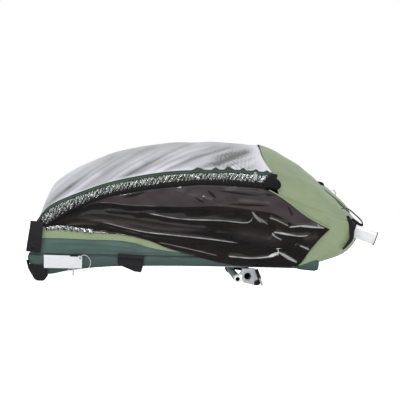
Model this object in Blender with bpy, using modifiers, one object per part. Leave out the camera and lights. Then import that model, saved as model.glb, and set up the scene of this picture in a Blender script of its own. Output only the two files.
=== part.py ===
"""Two-seat child bicycle trailer, folded flat, with its wheels, drawbar and push bar taken off.

Metres. +X points to the rear of the trailer, +Z up, and the trailer's left side faces -Y.
The origin is on the ground under the middle of the folded trailer.
The upper frame turns about the arm pivots at the front corners, and a jointed strut on each
side links it to the rear of the base.
"""

import math

import bmesh
import bpy
from mathutils import Matrix, Vector

# Driving dimensions -----------------------------------------------------------------------
GAP = 0.0003  # between faces that touch

TUB_FRONT_X = -0.522
TUB_REAR_X = 0.350
TUB_HALF_WIDTH = 0.360
TUB_BOTTOM_Z = 0.049
TUB_TOP_Z = 0.083
TUB_WALL = 0.032
TUB_FLOOR = 0.007

RAIL_RADIUS = 0.0125
RAIL_Y = 0.344
RAIL_Z = 0.0635
TUBE_WALL = 0.002
FRONT_TUBE_X = -0.506
REAR_TUBE_X = 0.334

PIVOT = (-0.470, 0.122)  # X and Z of the arm pivots
ARM_Y = 0.325
ARM_RADIUS = 0.011
ARM_KNEE = (0.176, 0.270)  # where the curved arm turns into its straight rear run
RECEIVER_START = (0.445, 0.174)
RECEIVER_END = (0.526, 0.145)
RECEIVER_HEIGHT = 0.040
RECEIVER_WIDTH = 0.024

STRUT_BASE = (0.285, 0.075)  # X and Z of the lower strut's pivot on the base
STRUT_KNEE = (0.009, 0.139)
STRUT_TOP = (0.397, 0.1906)  # the upper strut's pivot on the arm
STRUT_HEIGHT = 0.018
STRUT_THICK = 0.008
UPPER_STRUT_Y = 0.307
LOWER_STRUT_Y = 0.295
STRUT_PIN_RADIUS = 0.0045

AXLE = (0.106, 0.018)  # X and Z of the axle tube
AXLE_RADIUS = 0.011
AXLE_BORE_RADIUS = 0.0065
AXLE_HALF_LENGTH = 0.394
WHEEL_BORE = (0.135, 0.0272)
WHEEL_BORE_RADIUS = 0.0103
BUSH_RADIUS = 0.013
BRACKET_Y = (0.386, 0.394)  # inner and outer face of the wheel bracket's plate

COVER_HALF_WIDTH = 0.362
COVER_THICK = 0.003
SEAT_HALF_WIDTH = 0.262
WEBBING_THICK = 0.003

# Side layers, from the tub's wall outwards: inner and outer distance from the middle plane
PANEL_Y = (0.3605, 0.3625)
WINDOW_Y = (0.3632, 0.3647)
HEM_Y = (0.3655, 0.3695)
STRAP_Y = (0.3705, 0.3735)

# Side-view lines, X and Z ---------------------------------------------------------------
ARM_LINE = (
    PIVOT, (-0.446, 0.163), (-0.394, 0.199), (-0.303, 0.240), (-0.200, 0.264),
    (-0.080, 0.282), (0.040, 0.288), (0.120, 0.284), ARM_KNEE,
)
ZIP_LINE = (
    (-0.505, 0.165), (-0.490, 0.190), (-0.456, 0.228), (-0.380, 0.264), (-0.266, 0.304),
    (-0.113, 0.334), (0.027, 0.343), (0.110, 0.344), (0.206, 0.338),
)
HEM_LINE = (
    (-0.473, 0.160), (-0.394, 0.209), (-0.303, 0.249), (-0.227, 0.269), (-0.113, 0.287),
    (-0.010, 0.297), (0.105, 0.295), (0.180, 0.289),
)
COVER_CROWN = (
    (-0.518, 0.175), (-0.508, 0.240), (-0.484, 0.301), (-0.446, 0.335), (-0.403, 0.360),
    (-0.293, 0.408), (-0.165, 0.437), (-0.008, 0.450), (0.080, 0.448), (0.176, 0.442),
)
ROOF_CROWN = (
    (0.180, 0.442), (0.228, 0.425), (0.293, 0.387), (0.337, 0.354), (0.380, 0.315),
    (0.430, 0.271), (0.474, 0.225),
)
ROOF_SIDE = ((0.225, 0.278), (0.250, 0.266), (0.300, 0.242), (0.380, 0.214), (0.436, 0.196))
REAR_LINE = ((0.470, 0.218), (0.484, 0.185), (0.468, 0.138), (0.422, 0.101))
WINDOW_REAR = ((0.235, 0.262), (0.297, 0.222), (0.378, 0.1725), (0.324, 0.112), (0.297, 0.066))
WINDOW_BOTTOM = (
    (0.263, 0.055), (0.148, 0.055), (0.071, 0.067), (-0.006, 0.090), (-0.070, 0.098),
    (-0.147, 0.122), (-0.224, 0.139), (-0.339, 0.147), (-0.468, 0.154),
)

# Scene and collections -------------------------------------------------------------------
for leftover in list(bpy.data.objects):
    bpy.data.objects.remove(leftover, do_unlink=True)
PARTS = bpy.data.collections.new("child_bicycle_trailer")
CUTTERS = bpy.data.collections.new("cutters")
bpy.context.scene.collection.children.link(PARTS)
bpy.context.scene.collection.children.link(CUTTERS)


def make_material(name, colour, roughness, metallic=0.0):
    made = bpy.data.materials.new(name)
    made.use_nodes = True
    shader = made.node_tree.nodes["Principled BSDF"]
    shader.inputs["Base Color"].default_value = (*colour, 1.0)
    shader.inputs["Roughness"].default_value = roughness
    shader.inputs["Metallic"].default_value = metallic
    made.diffuse_color = (*colour, 1.0)
    return made


ALUMINIUM = make_material("aluminium", (0.62, 0.62, 0.66), 0.35, 1.0)
STEEL = make_material("zinc_steel", (0.55, 0.55, 0.57), 0.30, 1.0)
PLASTIC = make_material("black_plastic", (0.016, 0.015, 0.018), 0.45)
WEBBING = make_material("black_webbing", (0.014, 0.013, 0.016), 0.80)
LIGHT_FABRIC = make_material("sage_fabric", (0.30, 0.40, 0.22), 0.75)
DARK_FABRIC = make_material("pine_fabric", (0.065, 0.125, 0.105), 0.75)
MESH_FABRIC = make_material("mesh_fabric", (0.50, 0.50, 0.56), 0.60)
VINYL = make_material("tinted_vinyl", (0.012, 0.010, 0.011), 0.12)
SEAT_FABRIC = make_material("seat_fabric", (0.060, 0.032, 0.022), 0.85)
CARD = make_material("white_card", (0.72, 0.72, 0.75), 0.60)
NYLON = make_material("clear_nylon", (0.75, 0.75, 0.78), 0.30)
RED_PLASTIC = make_material("red_plastic", (0.45, 0.03, 0.02), 0.40)


# Modelling helpers ----------------------------------------------------------------------
def add_object(name, mesh, look=None):
    """An object of the trailer, or a cutter where it has no look."""
    made = bpy.data.objects.new(name, mesh)
    if look is None:
        CUTTERS.objects.link(made)
        made.hide_render = True
        made.display_type = "WIRE"
        return made
    PARTS.objects.link(made)
    mesh.materials.clear()
    mesh.materials.append(look)
    mesh.shade_smooth()
    mesh.set_sharp_from_angle(angle=math.radians(35))
    return made


def mesh_from(name, cage):
    mesh = bpy.data.meshes.new(name)
    cage.to_mesh(mesh)
    cage.free()
    return mesh


def bevelled(made, width, segments=2):
    modifier = made.modifiers.new("Rounded edges", "BEVEL")
    modifier.width = width
    modifier.segments = segments
    modifier.limit_method = "ANGLE"
    modifier.angle_limit = math.radians(40)
    return made


def box(name, low, high, look=None):
    """A block between its lowest and highest corners."""
    size = Vector(high) - Vector(low)
    centre = (Vector(high) + Vector(low)) / 2
    cage = bmesh.new()
    bmesh.ops.create_cube(cage, size=1.0, matrix=Matrix.Diagonal((*size, 1.0)))
    made = add_object(name, mesh_from(name, cage), look)
    made.location = centre
    return made


def rod(name, start, end, radius, look=None, segments=16):
    """A round bar from start to end."""
    start, end = Vector(start), Vector(end)
    cage = bmesh.new()
    bmesh.ops.create_cone(
        cage, cap_ends=True, segments=segments, radius1=radius, radius2=radius,
        depth=(end - start).length,
    )
    made = add_object(name, mesh_from(name, cage), look)
    made.location = (start + end) / 2
    made.rotation_euler = (end - start).to_track_quat("Z", "Y").to_euler()
    return made


def cross_rod(name, place, y_from, y_to, radius, look=None, segments=16):
    """A round bar along Y through a point of the side view."""
    return rod(name, (place[0], y_from, place[1]), (place[0], y_to, place[1]), radius, look, segments)


def mesh_of_curve(made, look, weld=True):
    """The curve object as a mesh object of the same name, with its caps welded on."""
    bpy.context.view_layer.update()
    graph = bpy.context.evaluated_depsgraph_get()
    mesh = bpy.data.meshes.new_from_object(made.evaluated_get(graph))
    if weld:
        cage = bmesh.new()
        cage.from_mesh(mesh)
        bmesh.ops.remove_doubles(cage, verts=cage.verts, dist=1e-5)
        bmesh.ops.recalc_face_normals(cage, faces=cage.faces)
        cage.to_mesh(mesh)
        cage.free()
    name, place = made.name, made.matrix_world.copy()
    bpy.data.objects.remove(made, do_unlink=True)
    solid = add_object(name, mesh, look)
    solid.matrix_world = place
    return solid


def plate(name, outline, y_from, y_to, look=None, holes=()):
    """A flat plate parallel to the trailer's side, with its outline in X and Z."""
    curve = bpy.data.curves.new(name, "CURVE")
    curve.dimensions = "2D"
    curve.fill_mode = "BOTH"
    curve.extrude = abs(y_to - y_from) / 2
    for points in (outline, *holes):
        spline = curve.splines.new("POLY")
        spline.points.add(len(points) - 1)
        spline.use_cyclic_u = True
        for point, (x, z) in zip(spline.points, points):
            point.co = (x, z, 0.0, 1.0)
    made = bpy.data.objects.new(name, curve)
    PARTS.objects.link(made)
    made.rotation_euler = (math.pi / 2, 0.0, 0.0)
    made.location = (0.0, (y_from + y_to) / 2, 0.0)
    return mesh_of_curve(made, look)


def tube(name, route, radius, look=None, wall=0.0, rounding=2):
    """A tube or bar along a route of points, hollow and open at its ends where it has a wall."""
    curve = bpy.data.curves.new(name, "CURVE")
    curve.dimensions = "3D"
    curve.bevel_depth = radius
    curve.bevel_resolution = rounding
    curve.use_fill_caps = wall == 0.0
    spline = curve.splines.new("POLY")
    spline.points.add(len(route) - 1)
    for point, place in zip(spline.points, route):
        point.co = (*place, 1.0)
    made = bpy.data.objects.new(name, curve)
    PARTS.objects.link(made)
    solid = mesh_of_curve(made, look, weld=wall == 0.0)
    if wall:
        thicken(solid, wall)
    return solid


def thicken(made, thickness):
    modifier = made.modifiers.new("Wall", "SOLIDIFY")
    modifier.thickness = thickness
    modifier.offset = -1.0
    return made


def hidden(made):
    """A shape that only adds to another one, moved to the cutters."""
    for collection in list(made.users_collection):
        collection.objects.unlink(made)
    CUTTERS.objects.link(made)
    made.hide_render = True
    made.display_type = "WIRE"
    return made


def combine(made, other, operation):
    modifier = made.modifiers.new(other.name, "BOOLEAN")
    modifier.operation = operation
    modifier.object = other
    return made


def cut(made, *cutters):
    for cutter in cutters:
        combine(made, cutter, "DIFFERENCE")
    return made


def fuse(made, *others):
    for other in others:
        combine(made, other, "UNION")
    return made


def curve_point(points, share):
    """A point at a share from 0 to 1 of the smooth curve through the points."""
    points = [Vector(point) for point in points]
    steps = [0.0]
    for before, after in zip(points, points[1:]):
        steps.append(steps[-1] + (after - before).length)
    distance = share * steps[-1]
    index = 0
    while index < len(points) - 2 and steps[index + 1] < distance:
        index += 1
    t = (distance - steps[index]) / (steps[index + 1] - steps[index])
    p1, p2 = points[index], points[index + 1]
    p0 = points[index - 1] if index > 0 else p1 * 2 - p2
    p3 = points[index + 2] if index + 2 < len(points) else p2 * 2 - p1
    return 0.5 * (
        2 * p1 + (p2 - p0) * t + (2 * p0 - 5 * p1 + 4 * p2 - p3) * t**2
        + (3 * p1 - p0 - 3 * p2 + p3) * t**3
    )


def smooth_line(points, count):
    return [curve_point(points, i / (count - 1)) for i in range(count)]


def side_view(points):
    return [(point[0], point[1]) for point in points]


def ring_outline(place, radius, count=16):
    angles = [i * math.tau / count for i in range(count)]
    return [(place[0] + radius * math.cos(a), place[1] + radius * math.sin(a)) for a in angles]


def shell(name, surface, along, across, look, thickness=COVER_THICK):
    """A fabric sheet with its outer face on surface(u, v), u from 0 to 1 and v from -1 to 1."""
    cage = bmesh.new()
    bmesh.ops.create_grid(cage, x_segments=along, y_segments=across, size=1.0)
    for corner in cage.verts:
        corner.co = surface((corner.co.x + 1) / 2, corner.co.y)
    return thicken(add_object(name, mesh_from(name, cage), look), thickness)


def arched(side_line, crown_line, fullness, half_width):
    """A surface that rises from two side lines to a crown line in the middle plane."""

    def surface(u, v):
        side, crown = curve_point(side_line, u), curve_point(crown_line, u)
        rise = 1 - abs(v) ** fullness
        x, z = side + (crown - side) * rise
        return Vector((x, v * half_width, z))

    return surface


def slot_outline(start, end, height):
    """The outline of a bar with round ends between two pivots, in the side view."""
    start, end = Vector(start), Vector(end)
    turn = math.atan2(end.y - start.y, end.x - start.x)
    outline = []
    for centre, first in ((start, turn + math.pi / 2), (end, turn - math.pi / 2)):
        for i in range(9):
            angle = first + math.pi * i / 8
            outline.append(
                (centre.x + height / 2 * math.cos(angle), centre.y + height / 2 * math.sin(angle))
            )
    return outline


def offset_band(start, end, below, above):
    """A straight band in the side view from below to above the line between two points."""
    start, end = Vector(start), Vector(end)
    normal = (end - start).normalized().orthogonal()
    if normal.y < 0:
        normal = -normal
    down, up = normal * below, normal * above
    return side_view([start - down, end - down, end + up, start + up])


SIDES = (("left", -1), ("right", 1))


# Base frame -----------------------------------------------------------------------------
def base_tubes():
    """The two side rails and two cross tubes that the tub's sleeves are threaded on."""
    for side, sign in SIDES:
        rail_ends = [(x, sign * RAIL_Y, RAIL_Z) for x in (TUB_FRONT_X + 0.002, TUB_REAR_X - 0.001)]
        tube(f"base_rail_{side}", rail_ends, RAIL_RADIUS, ALUMINIUM, TUBE_WALL)
    half = RAIL_Y - RAIL_RADIUS - GAP
    for name, x in (("front_cross_tube", FRONT_TUBE_X), ("rear_cross_tube", REAR_TUBE_X)):
        tube(name, [(x, -half, RAIL_Z), (x, half, RAIL_Z)], RAIL_RADIUS, ALUMINIUM, TUBE_WALL)


def floor_tub():
    """The fabric tub: a floor and low walls whose sleeves hold the base tubes."""
    tub = box(
        "floor_tub", (TUB_FRONT_X, -TUB_HALF_WIDTH, TUB_BOTTOM_Z),
        (TUB_REAR_X, TUB_HALF_WIDTH, TUB_TOP_Z), DARK_FABRIC,
    )
    hollow = box(
        "tub_hollow", (TUB_FRONT_X + TUB_WALL, TUB_WALL - TUB_HALF_WIDTH, TUB_BOTTOM_Z + TUB_FLOOR),
        (TUB_REAR_X - TUB_WALL, TUB_HALF_WIDTH - TUB_WALL, TUB_TOP_Z + 0.02),
    )
    cut(tub, hollow)
    for side, sign in SIDES:
        ends = [(x, sign * RAIL_Y, RAIL_Z) for x in (TUB_FRONT_X - 0.01, TUB_REAR_X + 0.01)]
        slot_x = (PIVOT[0] - 0.0275, PIVOT[0] + 0.0255)
        cut(
            tub,
            rod(f"rail_sleeve_{side}", ends[0], ends[1], RAIL_RADIUS + 0.0006),
            box(
                f"pivot_slot_{side}", (slot_x[0], sign * RAIL_Y - 0.0045, RAIL_Z),
                (slot_x[1], sign * RAIL_Y + 0.0045, TUB_TOP_Z + 0.01),
            ),
        )
    for name, x in (("front_sleeve", FRONT_TUBE_X), ("rear_sleeve", REAR_TUBE_X)):
        cut(tub, cross_rod(name, (x, RAIL_Z), -RAIL_Y, RAIL_Y, RAIL_RADIUS + 0.0006))


def corner_bumpers():
    """Moulded corners that wrap the tub's lower front corners and stand on the ground."""
    under, back = TUB_BOTTOM_Z - GAP, TUB_FRONT_X - GAP
    outline = (
        (-0.5275, 0.0615), (-0.5205, 0.036), (-0.503, 0.007), (-0.496, 0.001), (-0.488, 0.0),
        (-0.476, 0.0), (-0.4655, 0.014), (-0.4655, under), (back, under), (back, 0.0615),
    )
    for side, sign in SIDES:
        bumper = plate(f"corner_bumper_{side}", outline, sign * 0.330, sign * 0.368, PLASTIC)
        bevelled(bumper, 0.0012)


def arm_pivots():
    """Brackets on the side rails that carry the upper frame's arms, each with its bolt."""
    x, z = PIVOT
    foot = RAIL_Z + RAIL_RADIUS + GAP
    eye_radius, bolt_hole_radius = 0.014, 0.0044
    outline = [(x - 0.026, foot), (x + 0.024, foot)]
    for i in range(9):
        angle = i * math.pi / 8
        outline.append((x + eye_radius * math.cos(angle), z + eye_radius * math.sin(angle)))
    for side, sign in SIDES:
        plate(
            f"arm_pivot_bracket_{side}", outline, sign * 0.340, sign * 0.348, ALUMINIUM,
            holes=[ring_outline(PIVOT, bolt_hole_radius)],
        )
        bolt = cross_rod(
            f"arm_pivot_bolt_{side}", PIVOT, sign * 0.3105, sign * 0.3500, 0.0040, STEEL
        )
        head = cross_rod(
            f"bolt_head_{side}", PIVOT, sign * 0.3484, sign * 0.3535, 0.0085, segments=6
        )
        nut = cross_rod(
            f"bolt_nut_{side}", PIVOT, sign * 0.3080, sign * 0.3135, 0.0080, segments=6
        )
        fuse(bolt, head, nut)


def strut_brackets():
    """Saddles on the rear sleeve that carry the lower struts."""
    x, z = STRUT_BASE
    saddle, wall = TUB_TOP_Z + GAP, TUB_REAR_X - TUB_WALL - GAP
    outline = (
        (x - 0.012, z - 0.010), (wall, z - 0.010), (wall, saddle), (TUB_REAR_X - 0.006, saddle),
        (TUB_REAR_X - 0.006, saddle + 0.008), (x + 0.010, z + 0.026), (x - 0.006, z + 0.022),
    )
    for side, sign in SIDES:
        saddle_plate = plate(f"strut_bracket_{side}", outline, sign * 0.2995, sign * 0.3075, ALUMINIUM)
        pin = cross_rod(f"base_pin_{side}", STRUT_BASE, sign * 0.3020, sign * 0.2890, STRUT_PIN_RADIUS)
        head = cross_rod(f"base_pin_head_{side}", STRUT_BASE, sign * 0.2905, sign * 0.2875, 0.0080)
        fuse(saddle_plate, pin, head)


# Wheel mounts and parking brake ---------------------------------------------------------
def axle_and_wheel_brackets():
    """The axle tube under the floor, and the plates that take the wheels' plug-in axles."""
    axle = cross_rod(
        "axle_tube", AXLE, -AXLE_HALF_LENGTH, AXLE_HALF_LENGTH, AXLE_RADIUS, ALUMINIUM, 20
    )
    bore = cross_rod("axle_bore", AXLE, -0.42, 0.42, AXLE_BORE_RADIUS)
    cut(axle, bore)
    plate_inner, plate_outer = BRACKET_Y
    outline = (
        (0.1205, 0.0485), (0.1075, 0.0315), (0.1195, 0.0305), (0.1185, 0.0150), (0.1230, 0.0085),
        (0.1530, 0.0020), (0.1765, 0.0195), (0.1595, 0.0470),
    )
    for side, sign in SIDES:
        bracket = plate(
            f"wheel_bracket_{side}", outline, sign * plate_inner, sign * plate_outer, ALUMINIUM
        )
        inner, outer = sorted((sign * 0.330, sign * (plate_inner + 0.004)))
        low, high = (0.1205, inner, 0.0305), (0.1590, outer, TUB_BOTTOM_Z - 0.0006)
        foot = box(f"bracket_foot_{side}", low, high)
        fuse(bracket, foot)
        bush_bore = cross_rod(
            f"bush_bore_{side}", WHEEL_BORE, sign * 0.32, sign * 0.41, BUSH_RADIUS + GAP, segments=24
        )
        cut(bracket, bush_bore)
        bush = cross_rod(
            f"axle_bush_{side}", WHEEL_BORE, sign * 0.3400, sign * 0.3945, BUSH_RADIUS, STEEL, 24
        )
        bush_hole = cross_rod(
            f"bush_hole_{side}", WHEEL_BORE, sign * 0.33, sign * 0.41, WHEEL_BORE_RADIUS, segments=20
        )
        cut(bush, bush_hole)


def parking_brake():
    """A locking pin and its housing on each bracket, the foot pedal, and the cable between."""
    pin_y, guide_top, pin_tip = 0.4010, (0.1600, 0.0490), (0.1790, 0.0010)
    block = ((0.1550, 0.0010), (0.1680, 0.0008), (0.1745, 0.0080), (0.1720, 0.0190), (0.1550, 0.0130))
    spine_outline = ((0.1575, 0.0480), (0.1645, 0.0480), (0.1765, 0.0190), (0.1680, 0.0150))
    along = (Vector(pin_tip) - Vector(guide_top)).normalized()
    guide_end = Vector(guide_top) + along * 0.028
    pin_top = Vector(guide_top) + along * 0.022
    for side, sign in SIDES:
        housing = plate(f"brake_housing_{side}", block, sign * 0.3943, sign * 0.3970, PLASTIC)
        spine = plate(f"brake_spine_{side}", spine_outline, sign * 0.3943, sign * 0.3972)
        guide = rod(
            f"brake_guide_{side}", (guide_top[0], sign * pin_y, guide_top[1]),
            (guide_end.x, sign * pin_y, guide_end.y), 0.0050,
        )
        fuse(housing, hidden(spine), guide)
        bore_start = Vector(guide_top) + along * 0.006
        cut(
            housing,
            rod(
                f"brake_pin_bore_{side}", (bore_start.x, sign * pin_y, bore_start.y),
                (pin_tip[0], sign * pin_y, pin_tip[1]), 0.0031,
            ),
        )
        rod(
            f"brake_pin_{side}", (pin_top.x, sign * pin_y, pin_top.y),
            (pin_tip[0], sign * pin_y, pin_tip[1]), 0.0027, STEEL, 12,
        )
    pedal_y = (0.200, 0.262)
    pedal = cross_rod("brake_pedal", AXLE, *pedal_y, 0.0150, PLASTIC, 20)
    tread = box("pedal_tread", (AXLE[0] + 0.0115, pedal_y[0], 0.0140), (0.1760, pedal_y[1], 0.0210))
    fuse(pedal, bevelled(tread, 0.002))
    cut(pedal, cross_rod("pedal_bore", AXLE, 0.18, 0.28, AXLE_RADIUS + 0.0005, segments=20))
    route = (
        (AXLE[0], pedal_y[0] - GAP, 0.0315), (0.108, 0.12, 0.0345), (0.122, -0.05, 0.0375),
        (0.138, -0.20, 0.0395), (0.142, -0.3300 + GAP, 0.0395),
    )
    tube("brake_cable", smooth_line(route, 24), 0.0025, PLASTIC)


# Seat ----------------------------------------------------------------------------------
def seat():
    """A bench for two children, its back folded down behind it, and their harnesses."""
    low, high = (-0.285, -SEAT_HALF_WIDTH, 0.0575), (0.040, SEAT_HALF_WIDTH, 0.1000)
    cushion = box("seat_cushion", low, high, SEAT_FABRIC)
    bevelled(cushion, 0.012, 3)
    back_foot, back_top = (0.052, 0.104), (0.400, 0.152)
    outline = offset_band(back_foot, back_top, 0.006, 0.006)
    back = plate("seat_back", outline, -SEAT_HALF_WIDTH, SEAT_HALF_WIDTH, SEAT_FABRIC)
    bevelled(back, 0.004)
    lying = Vector(back_top) - Vector(back_foot)
    half_strap, half_buckle, half_button = 0.0125, 0.026, 0.0095
    for side, sign in SIDES:
        middle = sign * 0.130
        straps = []
        for number, offset in enumerate((-0.055, 0.055)):
            start, end = Vector(back_foot) + lying * 0.05, Vector(back_foot) + lying * 0.86
            straps.append(
                plate(
                    f"shoulder_strap_{side}_{number}", offset_band(start, end, -0.0065, 0.0090),
                    middle + offset - half_strap, middle + offset + half_strap, WEBBING,
                )
            )
        start, end = Vector(back_foot) + lying * 0.04, Vector(back_foot) + lying * 0.13
        lap = plate(
            f"harness_webbing_{side}", offset_band(start, end, -0.0070, 0.0084),
            middle - 0.075, middle + 0.075, WEBBING,
        )
        fuse(lap, *[hidden(strap) for strap in straps])
        low = (-0.030, middle - half_buckle, 0.1003)
        high = (0.030, middle + half_buckle, 0.1150)
        buckle = box(f"harness_buckle_{side}", low, high, PLASTIC)
        bevelled(buckle, 0.004)
        low, high = (-0.010, middle - 0.010, 0.1063), (0.010, middle + 0.010, 0.1250)
        well = box(f"button_well_{side}", low, high)
        cut(buckle, well)
        low = (-half_button, middle - half_button, 0.1110)
        high = (half_button, middle + half_button, 0.1160)
        button = box(f"buckle_button_{side}", low, high, RED_PLASTIC)
        bevelled(button, 0.001)


# Upper frame ---------------------------------------------------------------------------
def arms():
    """The curved side arms, with an eye at the front pivot and a boss for the upper strut."""
    curved = [curve_point(ARM_LINE, 0.012)] + smooth_line(ARM_LINE, 18)[1:]
    straight = [Vector(ARM_KNEE), Vector(RECEIVER_START)]
    for side, sign in SIDES:
        route = [(p.x, sign * ARM_Y, p.y) for p in curved]
        route.append((straight[1].x - 0.001, sign * ARM_Y, straight[1].y))
        arm = tube(f"side_arm_{side}", route, ARM_RADIUS, ALUMINIUM)
        eye = cross_rod(f"arm_eye_{side}", PIVOT, sign * 0.3145, sign * 0.3380, 0.0140)
        boss = cross_rod(f"strut_boss_{side}", STRUT_TOP, sign * 0.3114, sign * ARM_Y, 0.0085)
        pin = cross_rod(f"strut_top_pin_{side}", STRUT_TOP, sign * 0.3010, sign * 0.3200, STRUT_PIN_RADIUS)
        head = cross_rod(f"strut_top_head_{side}", STRUT_TOP, sign * 0.2995, sign * 0.3025, 0.0080)
        fuse(arm, eye, boss, pin, head)
        cut(arm, cross_rod(f"arm_eye_bore_{side}", PIVOT, sign * 0.30, sign * 0.35, 0.0044))


def receivers():
    """Flat-oval tubes at the arms' ends that take the push bar, or the drawbar for towing."""
    start, end = Vector(RECEIVER_START), Vector(RECEIVER_END)
    run = end - start
    turn = math.atan2(run.y, run.x)
    for side, sign in SIDES:
        end_radius = RECEIVER_WIDTH / 2
        straight_part = RECEIVER_HEIGHT / 2 - end_radius
        section = []
        for i in range(16):
            angle = (i + 0.5) * math.tau / 16
            height = math.copysign(straight_part, math.cos(angle)) + end_radius * math.cos(angle)
            section.append((end_radius * math.sin(angle), height))
        curve = bpy.data.curves.new(f"receiver_section_{side}", "CURVE")
        curve.dimensions = "2D"
        curve.fill_mode = "BOTH"
        curve.extrude = run.length / 2
        for scale in (1.0, 0.0):
            spline = curve.splines.new("POLY")
            spline.points.add(len(section) - 1)
            spline.use_cyclic_u = True
            for point, (y, z) in zip(spline.points, section):
                inset = 1.0 if scale else 1 - 2 * TUBE_WALL / RECEIVER_WIDTH
                tall = 1.0 if scale else 1 - 2 * TUBE_WALL / RECEIVER_HEIGHT
                point.co = (z * tall, y * inset, 0.0, 1.0)
        made = bpy.data.objects.new(f"push_bar_receiver_{side}", curve)
        PARTS.objects.link(made)
        made.matrix_world = (
            Matrix.Translation(((start.x + end.x) / 2, sign * ARM_Y, (start.y + end.y) / 2))
            @ Matrix.Rotation(-turn, 4, "Y")
            @ Matrix.Rotation(math.pi / 2, 4, "Y")
        )
        mesh_of_curve(made, ALUMINIUM)


def bow_and_cross_tube():
    """The arched bow under the roof, and the straight tube behind the children's heads."""
    roof = arched(ROOF_SIDE, ROOF_CROWN, 3.0, COVER_HALF_WIDTH)
    clearance = COVER_THICK + 0.012
    foot = (ARM_KNEE[0], ARM_KNEE[1] + ARM_RADIUS + 0.004)
    arch = []
    for i in range(25):
        v = -0.985 + 1.97 * i / 24
        top, ahead = roof(0.0, v), roof(0.0, v + 0.004) - roof(0.0, v - 0.004)
        inward = Vector((0.0, ahead.z, -ahead.y)).normalized()
        arch.append(Vector((foot[0], top.y, top.z)) + inward * clearance)
    legs = [(foot[0], sign * ARM_Y, foot[1]) for sign in (-1, 1)]
    route = [legs[0]] + [point for point in arch if point.z > foot[1] + 0.03] + [legs[1]]
    tube("roof_bow", route, 0.0080, ALUMINIUM)
    x = 0.428
    z = RECEIVER_START[1] + (RECEIVER_START[0] - x) * 0.358
    half = ARM_Y - ARM_RADIUS - GAP
    tube("upper_cross_tube", [(x, -half, z), (x, half, z)], 0.0110, ALUMINIUM, TUBE_WALL)


def struts():
    """The jointed struts that lock the erected frame. They lie folded along the floor."""
    for side, sign in SIDES:
        for name, start, end, y in (
            (f"lower_strut_{side}", STRUT_BASE, STRUT_KNEE, LOWER_STRUT_Y),
            (f"upper_strut_{side}", STRUT_TOP, STRUT_KNEE, UPPER_STRUT_Y),
        ):
            faces = (sign * (y - STRUT_THICK / 2), sign * (y + STRUT_THICK / 2))
            strut = plate(
                name, slot_outline(start, end, STRUT_HEIGHT), *faces, ALUMINIUM,
                holes=[ring_outline(start, STRUT_PIN_RADIUS + 0.0005)],
            )
            if name.startswith("lower"):
                knee = cross_rod(f"knee_boss_{side}", STRUT_KNEE, sign * 0.2950, sign * 0.3026, 0.0070)
                fuse(strut, knee)


# Covers ----------------------------------------------------------------------------------
def covers():
    """The mesh cover over the front, the roof behind it, and the slack rear sheet."""
    cover = arched(ZIP_LINE, COVER_CROWN, 2.3, COVER_HALF_WIDTH)
    shell("mesh_cover", cover, 24, 18, MESH_FABRIC)
    roof = arched(ROOF_SIDE, ROOF_CROWN, 3.0, COVER_HALF_WIDTH)
    shell("roof_panel", roof, 12, 20, LIGHT_FABRIC)
    half = 0.290

    def slack(u, v):
        point = curve_point(REAR_LINE, u)
        return Vector((point.x, v * half, point.y))

    shell("rear_panel", slack, 10, 4, LIGHT_FABRIC)


def side_layers():
    """On each side the slack fabric wall, the window over it, and the cover's elastic hem."""
    hem = side_view(smooth_line(HEM_LINE, 14))
    zip_edge = side_view(smooth_line(ZIP_LINE, 30))
    panel = [(-0.473, TUB_TOP_Z + 0.0035)] + [(x, z - 0.001) for x, z in hem[:-1]] + [
        (0.182, 0.287), (0.235, 0.264), (0.300, 0.224), (0.380, 0.184), (0.438, 0.158), (0.434, 0.130),
        (0.414, 0.104), (0.380, TUB_TOP_Z + 0.0035),
    ]
    window = [(x, z - 0.002) for x, z in hem[:-1]] + [(0.180, 0.286)] + list(WINDOW_REAR)
    window += list(WINDOW_BOTTOM)
    top = [(x, z) for x, z in zip_edge if x > -0.472 and x < 0.175]
    hem_band = hem + [(0.224, 0.2875), (0.229, 0.300), (0.228, 0.324), (0.214, 0.336), (0.182, 0.3405)]
    hem_band += [(x, z - 0.002) for x, z in reversed(top)]
    strap = ((-0.514, 0.178), (-0.477, 0.168), (-0.4855, 0.080), (-0.528, 0.098))
    for side, sign in SIDES:
        for name, outline, layer, look in (
            ("side_panel", panel, PANEL_Y, LIGHT_FABRIC),
            ("side_window", window, WINDOW_Y, VINYL),
            ("cover_hem", hem_band, HEM_Y, PLASTIC),
            ("front_strap", strap, STRAP_Y, WEBBING),
        ):
            plate(f"{name}_{side}", outline, sign * layer[0], sign * layer[1], look)


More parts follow.
